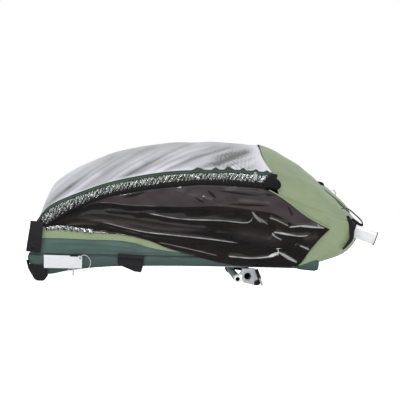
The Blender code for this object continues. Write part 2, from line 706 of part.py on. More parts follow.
# Small fittings --------------------------------------------------------------------------
def fittings():
    """The drawbar's strap, the hang tag on its nylon loop, the handle, D-ring and zip pulls."""
    strap = (
        (-0.254, 0.0860), (-0.177, 0.0820), (-0.176, 0.0480),
        (-0.180, 0.0320), (-0.216, 0.0420), (-0.247, 0.0450),
    )
    plate("drawbar_strap", strap, -0.3606, -0.3646, WEBBING)
    tag_y = (-0.3685, -0.3695)
    hole = (-0.366, 0.0700)
    tag = ((-0.4745, 0.0780), (-0.3600, 0.0765), (-0.3600, 0.0395), (-0.4730, 0.0390))
    plate("hang_tag", tag, *tag_y, CARD, holes=[ring_outline(hole, 0.0030, 12)])
    loop = (
        (-0.3850, -0.3705, 0.0360), (-0.3870, -0.3720, 0.0400), (-0.3960, -0.3735, 0.0385),
        (-0.4004, -0.3742, 0.0345), (-0.3940, -0.3745, 0.0315), (-0.3788, -0.3745, 0.0318),
        (-0.3600, -0.3735, 0.0325), (-0.3467, -0.3725, 0.0360), (-0.3372, -0.3725, 0.0450),
        (-0.3338, -0.3725, 0.0573), (-0.3380, -0.3725, 0.0700), (-0.3480, -0.3720, 0.0785),
        (-0.3584, -0.3715, 0.0795), (-0.3650, -0.3712, 0.0735), (-0.3662, -0.3690, 0.0700),
        (-0.3680, -0.3668, 0.0660), (-0.3760, -0.3665, 0.0500), (-0.3830, -0.3667, 0.0385),
        (-0.3842, -0.3680, 0.0362), (-0.3848, -0.3700, 0.0345),
    )
    tag_loop = tube("tag_loop", smooth_line(loop, 44), 0.0009, NYLON)
    barrel_top, barrel_foot = (-0.3848, -0.3705, 0.0375), (-0.3854, -0.3705, 0.0185)
    barrel = rod("loop_barrel", barrel_top, barrel_foot, 0.0022, segments=10)
    fuse(tag_loop, barrel)
    handle = (
        (0.4260, -0.2980, 0.2335), (0.4325, -0.3005, 0.2360), (0.4415, -0.3030, 0.2350),
        (0.4530, -0.3040, 0.2280), (0.4650, -0.3040, 0.2180), (0.4790, -0.3030, 0.2060),
        (0.4880, -0.3020, 0.1950), (0.4905, -0.3010, 0.1870), (0.4860, -0.3000, 0.1825),
        (0.4770, -0.2990, 0.1835), (0.4640, -0.2980, 0.1890), (0.4500, -0.2960, 0.1955),
    )
    tube("carry_handle", smooth_line(handle, 26), 0.0020, WEBBING)
    ring = []
    wire, leg = 0.0016, 0.004
    low, high = Vector((0.4390, 0.2730)), Vector((0.4235, 0.2935))
    middle, reach = (low + high) / 2, (high - low).length / 2
    outward = Vector((high.y - low.y, low.x - high.x)).normalized()
    upward = (high - low).normalized()
    for i in range(13):
        angle = -math.pi / 2 + math.pi * i / 12
        spot = middle + outward * (leg + reach * math.cos(angle)) + upward * reach * math.sin(angle)
        ring.append((spot.x, 0.0, spot.y))
    d_ring = tube("d_ring", ring, wire, STEEL)
    bar = rod("d_ring_bar", (low.x, 0.0, low.y), (high.x, 0.0, high.y), wire, segments=8)
    for name, end in (("low", low), ("high", high)):
        corner = end + outward * leg
        joined = rod(
            f"d_ring_leg_{name}", (end.x, 0.0, end.y), (corner.x, 0.0, corner.y), 0.00155, segments=8
        )
        fuse(d_ring, joined)
    fuse(d_ring, bar)
    pull = ((0.150, 0.338), (0.157, 0.338), (0.158, 0.314), (0.149, 0.314))
    for side, sign in SIDES:
        plate(f"zip_pull_{side}", pull, sign * 0.3700, sign * 0.3715, STEEL)


base_tubes()
floor_tub()
corner_bumpers()
arm_pivots()
strut_brackets()
axle_and_wheel_brackets()
parking_brake()
seat()
arms()
receivers()
bow_and_cross_tube()
struts()
covers()
side_layers()
fittings()
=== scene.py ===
import math

import bmesh
import bpy
import numpy as np
from mathutils import Matrix, Vector


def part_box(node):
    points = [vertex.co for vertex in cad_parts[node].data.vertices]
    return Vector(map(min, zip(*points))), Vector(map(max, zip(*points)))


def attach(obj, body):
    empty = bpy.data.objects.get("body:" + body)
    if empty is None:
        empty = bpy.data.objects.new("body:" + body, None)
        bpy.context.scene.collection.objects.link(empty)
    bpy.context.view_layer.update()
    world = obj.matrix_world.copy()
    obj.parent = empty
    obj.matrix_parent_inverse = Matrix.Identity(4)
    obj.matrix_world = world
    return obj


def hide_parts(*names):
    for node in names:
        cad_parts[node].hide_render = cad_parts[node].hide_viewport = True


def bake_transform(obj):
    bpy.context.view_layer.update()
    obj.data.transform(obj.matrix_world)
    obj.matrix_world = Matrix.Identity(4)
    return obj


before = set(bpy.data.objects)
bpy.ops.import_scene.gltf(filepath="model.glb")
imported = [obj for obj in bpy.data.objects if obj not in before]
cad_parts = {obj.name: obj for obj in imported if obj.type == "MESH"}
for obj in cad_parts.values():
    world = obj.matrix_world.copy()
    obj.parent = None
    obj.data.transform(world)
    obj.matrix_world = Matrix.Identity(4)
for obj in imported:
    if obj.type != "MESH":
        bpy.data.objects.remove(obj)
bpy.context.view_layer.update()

SIDES = (("left", -1.0), ("right", 1.0))

# Lines of the side view, X and Z in metres -------------------------------------------------
ARM_LINE = (
    (-0.470, 0.122), (-0.446, 0.163), (-0.394, 0.199), (-0.303, 0.240), (-0.200, 0.264),
    (-0.080, 0.282), (0.040, 0.288), (0.120, 0.284), (0.176, 0.270), (0.445, 0.174),
)
ZIP_LINE = (
    (-0.505, 0.165), (-0.490, 0.190), (-0.456, 0.228), (-0.380, 0.264), (-0.266, 0.304),
    (-0.113, 0.334), (0.027, 0.343), (0.110, 0.344), (0.206, 0.338),
)
HEM_LINE = (
    (-0.473, 0.160), (-0.394, 0.209), (-0.303, 0.249), (-0.227, 0.269), (-0.113, 0.287),
    (-0.010, 0.297), (0.105, 0.295), (0.180, 0.289),
)
COVER_CROWN = (
    (-0.518, 0.175), (-0.508, 0.240), (-0.484, 0.301), (-0.446, 0.335), (-0.403, 0.360),
    (-0.293, 0.408), (-0.165, 0.437), (-0.008, 0.450), (0.080, 0.448), (0.176, 0.442),
)
ROOF_CROWN = (
    (0.180, 0.442), (0.228, 0.425), (0.293, 0.387), (0.337, 0.354), (0.380, 0.315),
    (0.430, 0.271), (0.474, 0.225),
)
ROOF_SIDE = ((0.225, 0.278), (0.250, 0.266), (0.300, 0.242), (0.380, 0.214), (0.436, 0.196))
WINDOW_TOP = (
    (-0.468, 0.160), (-0.394, 0.206), (-0.303, 0.246), (-0.227, 0.266), (-0.113, 0.284),
    (-0.010, 0.294), (0.105, 0.292), (0.180, 0.288), (0.227, 0.268), (0.316, 0.208),
    (0.378, 0.173),
)
WINDOW_CREST = (
    (-0.385, 0.214), (-0.351, 0.227), (-0.320, 0.235), (-0.282, 0.236), (-0.225, 0.231), (-0.129, 0.229),
    (-0.053, 0.229), (0.050, 0.233), (0.143, 0.224), (0.205, 0.216), (0.235, 0.204), (0.267, 0.186),
    (0.316, 0.180), (0.370, 0.174),
)
WINDOW_BOTTOM = (
    (-0.468, 0.154), (-0.422, 0.156), (-0.342, 0.148), (-0.242, 0.142), (-0.185, 0.132),
    (-0.146, 0.121), (-0.108, 0.106), (-0.077, 0.097), (-0.011, 0.080), (0.053, 0.065),
    (0.108, 0.057), (0.185, 0.0545), (0.277, 0.057), (0.296, 0.071), (0.322, 0.108),
    (0.378, 0.173),
)
STRIP_BOTTOM = (
    (-0.505, 0.127), (-0.482, 0.128), (-0.421, 0.128), (-0.341, 0.126), (-0.257, 0.125),
    (-0.203, 0.118), (-0.161, 0.106), (-0.115, 0.098), (-0.066, 0.093),
)
TUB_BOTTOM = (
    (-0.522, 0.052), (-0.473, 0.020), (-0.3855, 0.034), (-0.248, 0.047), (0.054, 0.0525),
    (0.262, 0.051), (0.355, 0.045),
)
RECEIVER_START, RECEIVER_END, RECEIVER_Y = np.array((0.445, 0.174)), np.array((0.526, 0.145)), 0.325
COVER_HALF = 0.362
TUB_TOP = 0.083
TUB_FRONT, TUB_REAR, TUB_HALF = -0.522, 0.350, 0.360


# Shapes -------------------------------------------------------------------------------------
def resample(points, shares):
    """Points of a smooth curve through the given ones, at shares of its length from 0 to 1."""
    points = np.array(points, float)
    steps = np.concatenate([[0.0], np.cumsum(np.linalg.norm(np.diff(points, axis=0), axis=1))])
    distance = np.clip(np.asarray(shares, float), 0, 1) * steps[-1]
    index = np.clip(np.searchsorted(steps, distance, side="right") - 1, 0, len(points) - 2)
    t = ((distance - steps[index]) / (steps[index + 1] - steps[index]))[:, None]
    padded = np.concatenate(
        [[2 * points[0] - points[1]], points, [2 * points[-1] - points[-2]]]
    )
    p0, p1, p2, p3 = (padded[index + k] for k in range(4))
    return 0.5 * (
        2 * p1 + (p2 - p0) * t + (2 * p0 - 5 * p1 + 4 * p2 - p3) * t**2
        + (3 * p1 - p0 - 3 * p2 + p3) * t**3
    )


def height_of(points):
    """A line of the side view as a function from X to Z."""
    line = resample(points, np.linspace(0, 1, 240))
    order = np.argsort(line[:, 0])
    return lambda x: np.interp(x, line[order, 0], line[order, 1])


arm_z, zip_z, hem_z = height_of(ARM_LINE), height_of(ZIP_LINE), height_of(HEM_LINE)
window_top_z, window_bottom_z = height_of(WINDOW_TOP), height_of(WINDOW_BOTTOM)
strip_bottom_z, tub_bottom_z = height_of(STRIP_BOTTOM), height_of(TUB_BOTTOM)
crest_z = height_of(WINDOW_CREST)


def ripple(a, b, period, seed, count=5):
    """A smooth random height field over two coordinates, from about -1 to 1."""
    chance = np.random.default_rng(seed)
    total = 0.0
    for _ in range(count):
        turn, phase = chance.uniform(0, math.tau, 2)
        length = period * chance.uniform(0.7, 1.6)
        total = total + np.sin((a * math.cos(turn) + b * math.sin(turn)) * math.tau / length + phase)
    return total / math.sqrt(2.0 * count)


def crumple(position, low, high, seed, span=(-1.0, 1.0)):
    """Random sharp ups and downs from 0 to 1 along a coordinate, a fold every low to high."""
    chance = np.random.default_rng(seed)
    knots = np.concatenate([[span[0]], span[0] + np.cumsum(chance.uniform(low, high, 800))])
    levels = np.where(np.arange(len(knots)) % 2 == 0, 0.0, 1.0) * chance.uniform(0.55, 1.0, len(knots))
    return np.interp(position, knots, levels)


def fold(a, b, route, width, height, back=None, rise=0.15):
    """A ridge along a route in the coordinates a and b. It falls off over width on its upper side
    and back on its lower side, and fades in and out over a share of its length."""
    back = width if back is None else back
    line = resample(route, np.linspace(0, 1, 28))
    best = np.full(a.shape, 1e9)
    side, share = np.zeros(a.shape), np.zeros(a.shape)
    for i, (start, end) in enumerate(zip(line, line[1:])):
        run = end - start
        t = np.clip(((a - start[0]) * run[0] + (b - start[1]) * run[1]) / (run @ run), 0, 1)
        da, db = a - start[0] - t * run[0], b - start[1] - t * run[1]
        away = np.hypot(da, db)
        nearer = away < best
        best = np.where(nearer, away, best)
        side = np.where(nearer, np.sign(run[0] * db - run[1] * da), side)
        share = np.where(nearer, (i + t) / (len(line) - 1), share)
    reach = np.where(side > 0, width, back)
    fade = np.clip(share / rise, 0, 1) * np.clip((1 - share) / rise, 0, 1)
    fade = fade * fade * (3 - 2 * fade)
    tip = np.minimum(width, back) * 0.22
    return height * fade * np.exp(-(np.sqrt(best**2 + tip**2) - tip) / reach)


def normals_of(grid):
    along = np.gradient(grid, axis=0)
    across = np.gradient(grid, axis=1)
    normal = np.cross(along, across)
    return normal / np.maximum(np.linalg.norm(normal, axis=2, keepdims=True), 1e-12)


def add_piece(name, vertices, faces, look, flat_places=None, shade=None, crease=None):
    """A mesh object with a smooth surface, a UV map in metres, and shade and crease attributes, which carry painted
    shade, painted reflections and painted highlights into the materials.
    """
    mesh = bpy.data.meshes.new(name)
    mesh.from_pydata([tuple(v) for v in vertices], [], faces)
    mesh.validate()
    if flat_places is not None:
        uv = mesh.uv_layers.new(name="metres")
        index = np.empty(len(mesh.loops), int)
        mesh.loops.foreach_get("vertex_index", index)
        uv.data.foreach_set("uv", np.asarray(flat_places, np.float32)[index].ravel())
    for kind, given in (("shade", shade), ("crease", crease)):
        layer = mesh.attributes.new(kind, "FLOAT", "POINT")
        values = np.zeros(len(mesh.vertices)) if given is None else np.asarray(given).ravel()
        layer.data.foreach_set("value", values.astype(np.float32))
    mesh.shade_smooth()
    mesh.materials.append(look)
    piece = bpy.data.objects.new(name, mesh)
    bpy.context.scene.collection.objects.link(piece)
    return piece


def grid_faces(rows, columns, closed=False, flip=False):
    faces = []
    last = columns if closed else columns - 1
    for i in range(rows - 1):
        for j in range(last):
            k = (j + 1) % columns
            face = (i * columns + j, (i + 1) * columns + j, (i + 1) * columns + k, i * columns + k)
            faces.append(face[::-1] if flip else face)
    return faces


def flat_map(grid):
    """Each point's distance along its row and column, in metres."""
    down = np.linalg.norm(np.diff(grid, axis=0), axis=2)
    over = np.linalg.norm(np.diff(grid, axis=1), axis=2)
    u = np.concatenate([np.zeros((1, grid.shape[1])), np.cumsum(down, axis=0)])
    v = np.concatenate([np.zeros((grid.shape[0], 1)), np.cumsum(over, axis=1)], axis=1)
    middle_u, middle_v = u[:, grid.shape[1] // 2], v[grid.shape[0] // 2]
    return np.stack(np.broadcast_arrays(middle_u[:, None], middle_v[None, :]), axis=2).reshape(-1, 2)


def cloth(name, grid, look, thickness=0.0012, flip=False, shade=None, crease=None):
    """A sheet over a grid of points, its outer face on the grid, closed with a back and rim."""
    rows, columns = grid.shape[:2]
    piece = add_piece(
        name, grid.reshape(-1, 3), grid_faces(rows, columns, flip=flip), look, flat_map(grid), shade, crease
    )
    if thickness:
        harden(piece, thickness)
    return piece


def harden(piece, thickness):
    """Gives a sheet its thickness for good, behind its outer face."""
    modifier = piece.modifiers.new("Thickness", "SOLIDIFY")
    modifier.thickness = thickness
    modifier.offset = -1.0
    apply_modifiers(piece)


def apply_modifiers(piece):
    bpy.context.view_layer.update()
    graph = bpy.context.evaluated_depsgraph_get()
    mesh = bpy.data.meshes.new_from_object(piece.evaluated_get(graph))
    piece.modifiers.clear()
    old, piece.data = piece.data, mesh
    mesh.name = piece.name
    bpy.data.meshes.remove(old)
    return piece


def sweep(name, route, section, look, closed=False, caps=True, up=(0.0, 1.0, 0.0), shade=None):
    """A bar along a route of points. The section's first coordinate lies along up and its second
    across it; section is one outline or one for each point of the route."""
    route = np.array(route, float)
    forward = np.gradient(route, axis=0)
    if closed:
        forward = np.roll(route, -1, axis=0) - np.roll(route, 1, axis=0)
    forward /= np.linalg.norm(forward, axis=1, keepdims=True)
    up = np.array(up, float)
    across = np.cross(forward, up)
    across /= np.linalg.norm(across, axis=1, keepdims=True)
    upward = np.cross(across, forward)
    section = np.array(section, float)
    if section.ndim == 2:
        section = np.repeat(section[None], len(route), axis=0)
    grid = route[:, None] + upward[:, None] * section[:, :, :1] + across[:, None] * section[:, :, 1:]
    rows, columns = grid.shape[:2]
    if closed:
        grid = np.concatenate([grid, grid[:1]])
        rows += 1
    faces = grid_faces(rows, columns, closed=True)
    if caps and not closed:
        faces.append(tuple(range(columns)))
        faces.append(tuple(range((rows - 1) * columns, rows * columns))[::-1])
    piece = add_piece(name, grid.reshape(-1, 3), faces, look, flat_map(grid), shade)
    cage = bmesh.new()
    cage.from_mesh(piece.data)
    bmesh.ops.remove_doubles(cage, verts=cage.verts, dist=1e-6)
    bmesh.ops.recalc_face_normals(cage, faces=cage.faces)
    cage.to_mesh(piece.data)
    cage.free()
    piece.data.shade_smooth()
    return piece


def oval(height, width, count=14, power=2.6):
    """A rounded outline, height along the first coordinate and width along the second."""
    turn = np.arange(count) * math.tau / count
    c, s = np.cos(turn), np.sin(turn)
    return np.stack(
        [
            height / 2 * np.sign(c) * np.abs(c) ** (2 / power),
            width / 2 * np.sign(s) * np.abs(s) ** (2 / power),
        ],
        axis=1,
    )


def seam(name, route, look, pitch=0.0042, stitch=0.0028, radius=0.00045, up=(0.0, 1.0, 0.0)):
    """A row of thread stitches along a route."""
    route = np.array(route, float)
    steps = np.concatenate([[0.0], np.cumsum(np.linalg.norm(np.diff(route, axis=0), axis=1))])
    starts = np.arange(0.0, steps[-1] - stitch, pitch)
    section = oval(2 * radius, 2 * radius, 6, 2.0)
    vertices, faces = [], []
    up = np.array(up, float)
    for start in starts:
        spots = [start, start + stitch * 0.25, start + stitch * 0.75, start + stitch]
        line = np.stack([np.interp(spots, steps, route[:, k]) for k in range(3)], axis=1)
        forward = line[-1] - line[0]
        forward /= np.linalg.norm(forward)
        across = np.cross(forward, up)
        across /= np.linalg.norm(across)
        lift = np.array([-0.4, 0.5, 0.5, -0.4]) * radius
        first = len(vertices)
        for spot, raised in zip(line, lift):
            for a, b in section:
                vertices.append(spot + up * (a + raised) + across * b)
        for i in range(3):
            for j in range(6):
                k = (j + 1) % 6
                faces.append(
                    (first + i * 6 + j, first + i * 6 + k, first + i * 6 + 6 + k, first + i * 6 + 6 + j)
                )
    return add_piece(name, vertices, faces, look)


def follow_fold(piece):
    """Bakes the piece's transform into its mesh; the side arms' heights over it are worked out but not used."""
    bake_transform(piece)
    places = np.array([v.co for v in piece.data.vertices])
    top = np.interp(places[:, 0], [-0.53, -0.47], [0.150, 0.122])
    top = np.where(places[:, 0] > -0.47, arm_z(np.clip(places[:, 0], -0.47, 0.445)), top)
    return piece


# Materials ----------------------------------------------------------------------------------
class Look:
    """A node material around one Principled shader."""

    def __init__(self, name, **sockets):
        self.material = bpy.data.materials.new(name)
        self.material.use_nodes = True
        self.tree = self.material.node_tree
        self.shader = self.tree.nodes["Principled BSDF"]
        for socket, value in sockets.items():
            self.shader.inputs[socket.replace("_", " ")].default_value = value

    def put(self, kind, inputs=None, **settings):
        made = self.tree.nodes.new("ShaderNode" + kind)
        for key, value in settings.items():
            setattr(made, key, value)
        for key, value in (inputs or {}).items():
            if isinstance(value, bpy.types.NodeSocket):
                self.tree.links.new(value, made.inputs[key])
            else:
                made.inputs[key].default_value = value
        return made

    def give(self, socket, source):
        self.tree.links.new(source, self.shader.inputs[socket])

    def places(self, flat):
        return self.put("TexCoord").outputs["UV" if flat else "Object"]

    def noise(self, places, scale, detail=4.0, rough=0.55, stretch=None):
        if stretch:
            places = self.put("Mapping", {"Vector": places, "Scale": stretch}).outputs["Vector"]
        values = {"Vector": places, "Scale": scale, "Detail": detail, "Roughness": rough}
        return self.put("TexNoise", values).outputs["Fac"]

    def bands(self, places, period, direction, waviness=0.0):
        values = {"Vector": places, "Scale": 0.31416 / period, "Distortion": waviness, "Detail": 1.0}
        return self.put("TexWave", values, bands_direction=direction).outputs["Fac"]

    def sum(self, a, b, operation="ADD"):
        return self.put("Math", {0: a, 1: b}, operation=operation).outputs[0]

    def span(self, value, low, high, to_low=0.0, to_high=1.0):
        values = {"Value": value, 1: low, 2: high, 3: to_low, 4: to_high}
        return self.put("MapRange", values, clamp=True).outputs[0]

    def mix(self, factor, first, second):
        def colour(c):
            return (*c, 1.0) if isinstance(c, tuple) and len(c) == 3 else c

        values = {"Fac": factor, "Color1": colour(first), "Color2": colour(second)}
        return self.put("MixRGB", values).outputs["Color"]

    def shade(self, name="shade"):
        return self.put("Attribute", attribute_name=name).outputs["Fac"]

    def bump(self, height, distance, strength=1.0):
        values = {"Height": height, "Distance": distance, "Strength": strength}
        self.give("Normal", self.put("Bump", values).outputs["Normal"])


def woven(name, colour, deep, weave=0.0009, roughness=0.72, sheen=0.25, flat=True, relief=0.00012,
          worn=None):
    """Coated polyester: a plain weave, mottled, and darker by painted shade where the shade attribute says."""
    look = Look(name, Roughness=roughness, Sheen_Weight=sheen, Sheen_Roughness=0.45, Specular_IOR_Level=0.3)
    place = look.places(flat)
    warp, weft = look.bands(place, weave, "X"), look.bands(place, weave, "Y")
    threads = look.sum(warp, weft, "MULTIPLY")
    cloudy = look.noise(place, 9.0, 3.0)
    fine = look.noise(place, 420.0, 2.0)
    body = look.mix(look.span(cloudy, 0.3, 0.7, 0.0, 0.35), colour, deep)
    body = look.mix(look.span(threads, 0.0, 1.0, 0.16, 0.0), body, deep)
    body = look.mix(look.span(fine, 0.35, 0.75, 0.0, 0.12), body, worn or colour)
    body = look.mix(look.shade(), body, deep)
    look.give("Base Color", body)
    look.give("Roughness", look.span(cloudy, 0.3, 0.7, roughness - 0.08, roughness + 0.08))
    look.bump(look.sum(threads, look.sum(fine, 0.4, "MULTIPLY")), relief, 0.5)
    return look.material


def web(name, colour, light, flat=True, pitch=0.0022):
    """Narrow woven webbing: slanted ribs across a plain ground."""
    look = Look(name, Roughness=0.82, Sheen_Weight=0.03, Sheen_Roughness=0.5, Specular_IOR_Level=0.16)
    place = look.places(flat)
    ribs = look.bands(place, pitch, "DIAGONAL", 0.4)
    picks = look.bands(place, pitch * 0.55, "Y")
    fine = look.noise(place, 600.0, 2.0)
    body = look.mix(look.span(look.sum(ribs, picks, "MULTIPLY"), 0.1, 0.9), colour, light)
    body = look.mix(look.span(fine, 0.4, 0.8, 0.0, 0.3), body, light)
    look.give("Base Color", body)
    look.give("Roughness", look.span(fine, 0.3, 0.7, 0.7, 0.9))
    look.bump(look.sum(ribs, look.sum(picks, 0.5, "MULTIPLY")), 0.0002, 0.6)
    return look.material


def metal(name, colour, dull, bare, roughness=0.34, grain=(1.0, 40.0, 40.0), spots=0.3):
    """Drawn or cast metal under a clear or silver coat: a fine grain, marks and dulled patches."""
    look = Look(name, Metallic=bare, Roughness=roughness)
    place = look.places(False)
    lines = look.noise(place, 60.0, 5.0, 0.7, stretch=grain)
    patches = look.noise(place, 22.0, 4.0)
    scratches = look.noise(place, 240.0, 2.0, 0.5, stretch=(0.6, 1.0, 9.0))
    body = look.mix(look.span(patches, 0.4, 0.75, 0.0, spots), colour, dull)
    body = look.mix(look.span(scratches, 0.66, 0.74, 0.0, 0.35), body, dull)
    look.give("Base Color", body)
    look.give("Roughness", look.span(lines, 0.25, 0.75, roughness - 0.08, roughness + 0.12))
    look.bump(look.sum(lines, look.sum(scratches, 0.5, "MULTIPLY")), 0.00006, 0.4)
    return look.material


def moulded(name, colour, light, roughness=0.5, grain=900.0):
    """Moulded plastic with a spark-eroded grain, paler and smoother where it is rubbed."""
    look = Look(name, Roughness=roughness, Specular_IOR_Level=0.22)
    place = look.places(False)
    pits = look.noise(place, grain, 2.0, 0.6)
    rubs = look.noise(place, 45.0, 5.0, 0.65)
    edge = look.put("NewGeometry").outputs["Pointiness"]
    body = look.mix(look.span(rubs, 0.5, 0.8, 0.0, 0.5), colour, light)
    body = look.mix(look.span(edge, 0.51, 0.58, 0.0, 0.45), body, light)
    look.give("Base Color", body)
    look.give("Roughness", look.span(rubs, 0.3, 0.8, roughness + 0.1, roughness - 0.12))
    look.bump(pits, 0.00008, 0.45)
    return look.material


def mesh_cloth(name):
    """Knitted insect mesh: a fine lattice of pale yarn with small holes through it."""
    look = Look(name, Roughness=0.62, Sheen_Weight=0.2, Sheen_Roughness=0.4)
    place = look.places(True)
    pitch = 0.0016
    columns, rows = look.bands(place, pitch, "X"), look.bands(place, pitch, "Y")
    slant = look.bands(place, pitch * 2.2, "DIAGONAL", 0.3)
    lattice = look.sum(columns, rows, "MAXIMUM")
    streaks = look.noise(place, 26.0, 3.0, 0.6, stretch=(1.0, 0.25, 1.0))
    body = look.mix(look.span(streaks, 0.40, 0.75, 0.0, 0.5), (0.790, 0.780, 0.875), (0.850, 0.840, 0.910))
    body = look.mix(look.span(lattice, 0.25, 0.9, 0.18, 0.0), body, (0.24, 0.26, 0.26))
    body = look.mix(look.span(slant, 0.0, 1.0, 0.06, 0.0), body, (0.25, 0.27, 0.27))
    # Painted shade: darker where the shade attribute says, in the wrinkles' valleys, along folds and near the crown
    body = look.mix(look.shade(), body, (0.120, 0.138, 0.128))
    look.give("Base Color", body)
    look.give("Roughness", look.span(streaks, 0.3, 0.7, 0.5, 0.7))
    look.give("Alpha", look.span(lattice, 0.05, 0.30, 0.80, 1.0))
    look.bump(look.sum(lattice, slant), 0.00015, 0.5)
    return look.material


def window_film(name):
    """Dark tinted vinyl: glossy, browner in drifts, finely creased and scratched, with painted purplish reflections
    where the shade attribute says and painted white highlights where the crease attribute says.
    """
    look = Look(name, Roughness=0.07, Specular_IOR_Level=0.5, IOR=1.5, Coat_Weight=0.25, Coat_Roughness=0.03)
    place = look.places(True)
    drift = look.noise(place, 11.0, 3.0, 0.5, stretch=(0.3, 1.0, 1.0))
    creases = look.noise(place, 70.0, 3.0, 0.5, stretch=(0.12, 1.0, 1.0))
    marks = look.noise(place, 420.0, 2.0, 0.5, stretch=(0.08, 1.0, 1.0))
    body = look.mix(look.span(drift, 0.35, 0.7), (0.0065, 0.0060, 0.0062), (0.0165, 0.0115, 0.0100))
    body = look.mix(look.span(marks, 0.68, 0.80, 0.0, 0.12), body, (0.10, 0.10, 0.11))
    # Painted reflection: paler and purplish where the shade attribute says
    body = look.mix(look.shade(), body, (0.094, 0.074, 0.080))
    # Painted highlights: white where the crease attribute says, broken up by the marks
    broken = look.span(marks, 0.30, 0.55, 0.55, 1.0)
    painted_highlight = look.sum(look.shade("crease"), broken, "MULTIPLY")
    body = look.mix(painted_highlight, body, (0.80, 0.80, 0.82))
    look.give("Base Color", body)
    look.give("Roughness", look.span(creases, 0.3, 0.7, 0.05, 0.14))
    look.bump(look.sum(creases, look.sum(marks, 0.12, "MULTIPLY")), 0.0006, 0.35)
    return look.material


def clear_film(name):
    """Clear vinyl gathered over dark green piping, green and near black, with painted white glints where the crease
    attribute says and darker where the shade attribute says.
    """
    look = Look(name, Roughness=0.10, Specular_IOR_Level=0.8, Coat_Weight=0.6, Coat_Roughness=0.04)
    place = look.places(True)
    pleats = look.noise(place, 120.0, 4.0, 0.65, stretch=(1.0, 0.35, 1.0))
    glints = look.noise(place, 260.0, 3.0, 0.6, stretch=(1.0, 0.4, 1.0))
    body = look.mix(look.span(pleats, 0.42, 0.58), (0.008, 0.010, 0.011), (0.050, 0.095, 0.055))
    # Painted white glints where the glint noise and the crease attribute meet; the shade attribute then darkens the
    # film towards near black
    glint = look.sum(look.span(glints, 0.53, 0.60), look.shade("crease"), "MULTIPLY")
    body = look.mix(look.shade(), body, (0.007, 0.007, 0.009))
    body = look.mix(glint, body, (0.84, 0.85, 0.88))
    look.give("Base Color", body)
    look.give("Roughness", look.span(pleats, 0.3, 0.7, 0.06, 0.22))
    look.bump(look.sum(pleats, glints), 0.0016, 0.7)
    return look.material


def gathered_band(name):
    """Black elastic: fine ribs along its length, puckered across by the gathers."""
    look = Look(name, Roughness=0.8, Sheen_Weight=0.02, Sheen_Roughness=0.4, Specular_IOR_Level=0.12)
    place = look.places(True)
    ribs = look.bands(place, 0.0016, "Y", 0.3)
    puckers = look.noise(place, 170.0, 2.0, 0.5, stretch=(1.0, 0.3, 1.0))
    drift = look.noise(place, 14.0, 3.0)
    body = look.mix(look.span(ribs, 0.1, 0.9), (0.005, 0.0045, 0.005), (0.011, 0.009, 0.010))
    body = look.mix(look.span(puckers, 0.55, 0.72, 0.0, 0.4), body, (0.022, 0.018, 0.021))
    body = look.mix(look.span(drift, 0.4, 0.7, 0.0, 0.35), body, (0.005, 0.005, 0.006))
    look.give("Base Color", body)
    look.give("Roughness", look.span(puckers, 0.3, 0.7, 0.6, 0.85))
    look.bump(look.sum(ribs, look.sum(puckers, 2.0, "MULTIPLY")), 0.0004, 0.6)
    return look.material


def tracer_cord(name):
    """Black braided cord with a pale dashed tracer thread."""
    look = Look(name, Roughness=0.8)
    place = look.places(True)
    braid = look.bands(place, 0.0011, "DIAGONAL", 0.5)
    dashes = look.bands(place, 0.0075, "X")
    lane = look.bands(place, 0.0063, "Y")
    body = look.mix(look.span(braid, 0.1, 0.9), (0.010, 0.010, 0.011), (0.028, 0.027, 0.029))
    spots = look.sum(look.span(dashes, 0.45, 0.6), look.span(lane, 0.45, 0.6), "MULTIPLY")
    look.give("Base Color", look.mix(spots, body, (0.55, 0.55, 0.55)))
    look.bump(braid, 0.0002, 0.6)
    return look.material


def board(name):
    """Uncoated white card, with faint fibres and soft grey handling marks."""
    look = Look(name, Roughness=0.62)
    place = look.places(False)
    fibres = look.noise(place, 700.0, 4.0, 0.7, stretch=(1.0, 1.0, 0.4))
    marks = look.noise(place, 38.0, 3.0)
    body = look.mix(look.span(marks, 0.45, 0.75, 0.0, 0.5), (0.72, 0.74, 0.77), (0.62, 0.64, 0.68))
    body = look.mix(look.span(fibres, 0.6, 0.8, 0.0, 0.2), body, (0.55, 0.56, 0.58))
    look.give("Base Color", body)
    look.bump(fibres, 0.00004, 0.4)
    return look.material


def filament(name):
    """Moulded clear nylon: milky, with flow lines."""
    look = Look(name, Roughness=0.28, Specular_IOR_Level=0.6, Transmission_Weight=0.25, IOR=1.53)
    place = look.places(False)
    flow = look.noise(place, 160.0, 3.0, stretch=(1.0, 1.0, 0.3))
    look.give("Base Color", look.mix(look.span(flow, 0.3, 0.7), (0.78, 0.79, 0.82), (0.62, 0.63, 0.67)))
    look.give("Roughness", look.span(flow, 0.3, 0.7, 0.2, 0.36))
    return look.material


def upholstery(name):
    """Brushed brown seat cloth, napped and a little faded in patches."""
    look = Look(name, Roughness=0.88, Sheen_Weight=0.5, Sheen_Roughness=0.6)
    place = look.places(False)
    warp, weft = look.bands(place, 0.0017, "X", 0.3), look.bands(place, 0.0017, "Y", 0.3)
    nap = look.noise(place, 300.0, 4.0, 0.7)
    fade = look.noise(place, 12.0, 3.0)
    body = look.mix(look.span(fade, 0.35, 0.7), (0.060, 0.032, 0.022), (0.085, 0.050, 0.036))
    body = look.mix(look.span(nap, 0.4, 0.7, 0.0, 0.4), body, (0.11, 0.07, 0.055))
    body = look.mix(
        look.span(look.sum(warp, weft, "MULTIPLY"), 0.0, 0.6, 0.35, 0.0), body, (0.02, 0.012, 0.009)
    )
    look.give("Base Color", body)
    look.bump(look.sum(look.sum(warp, weft, "MULTIPLY"), nap), 0.0004, 0.6)
    return look.material


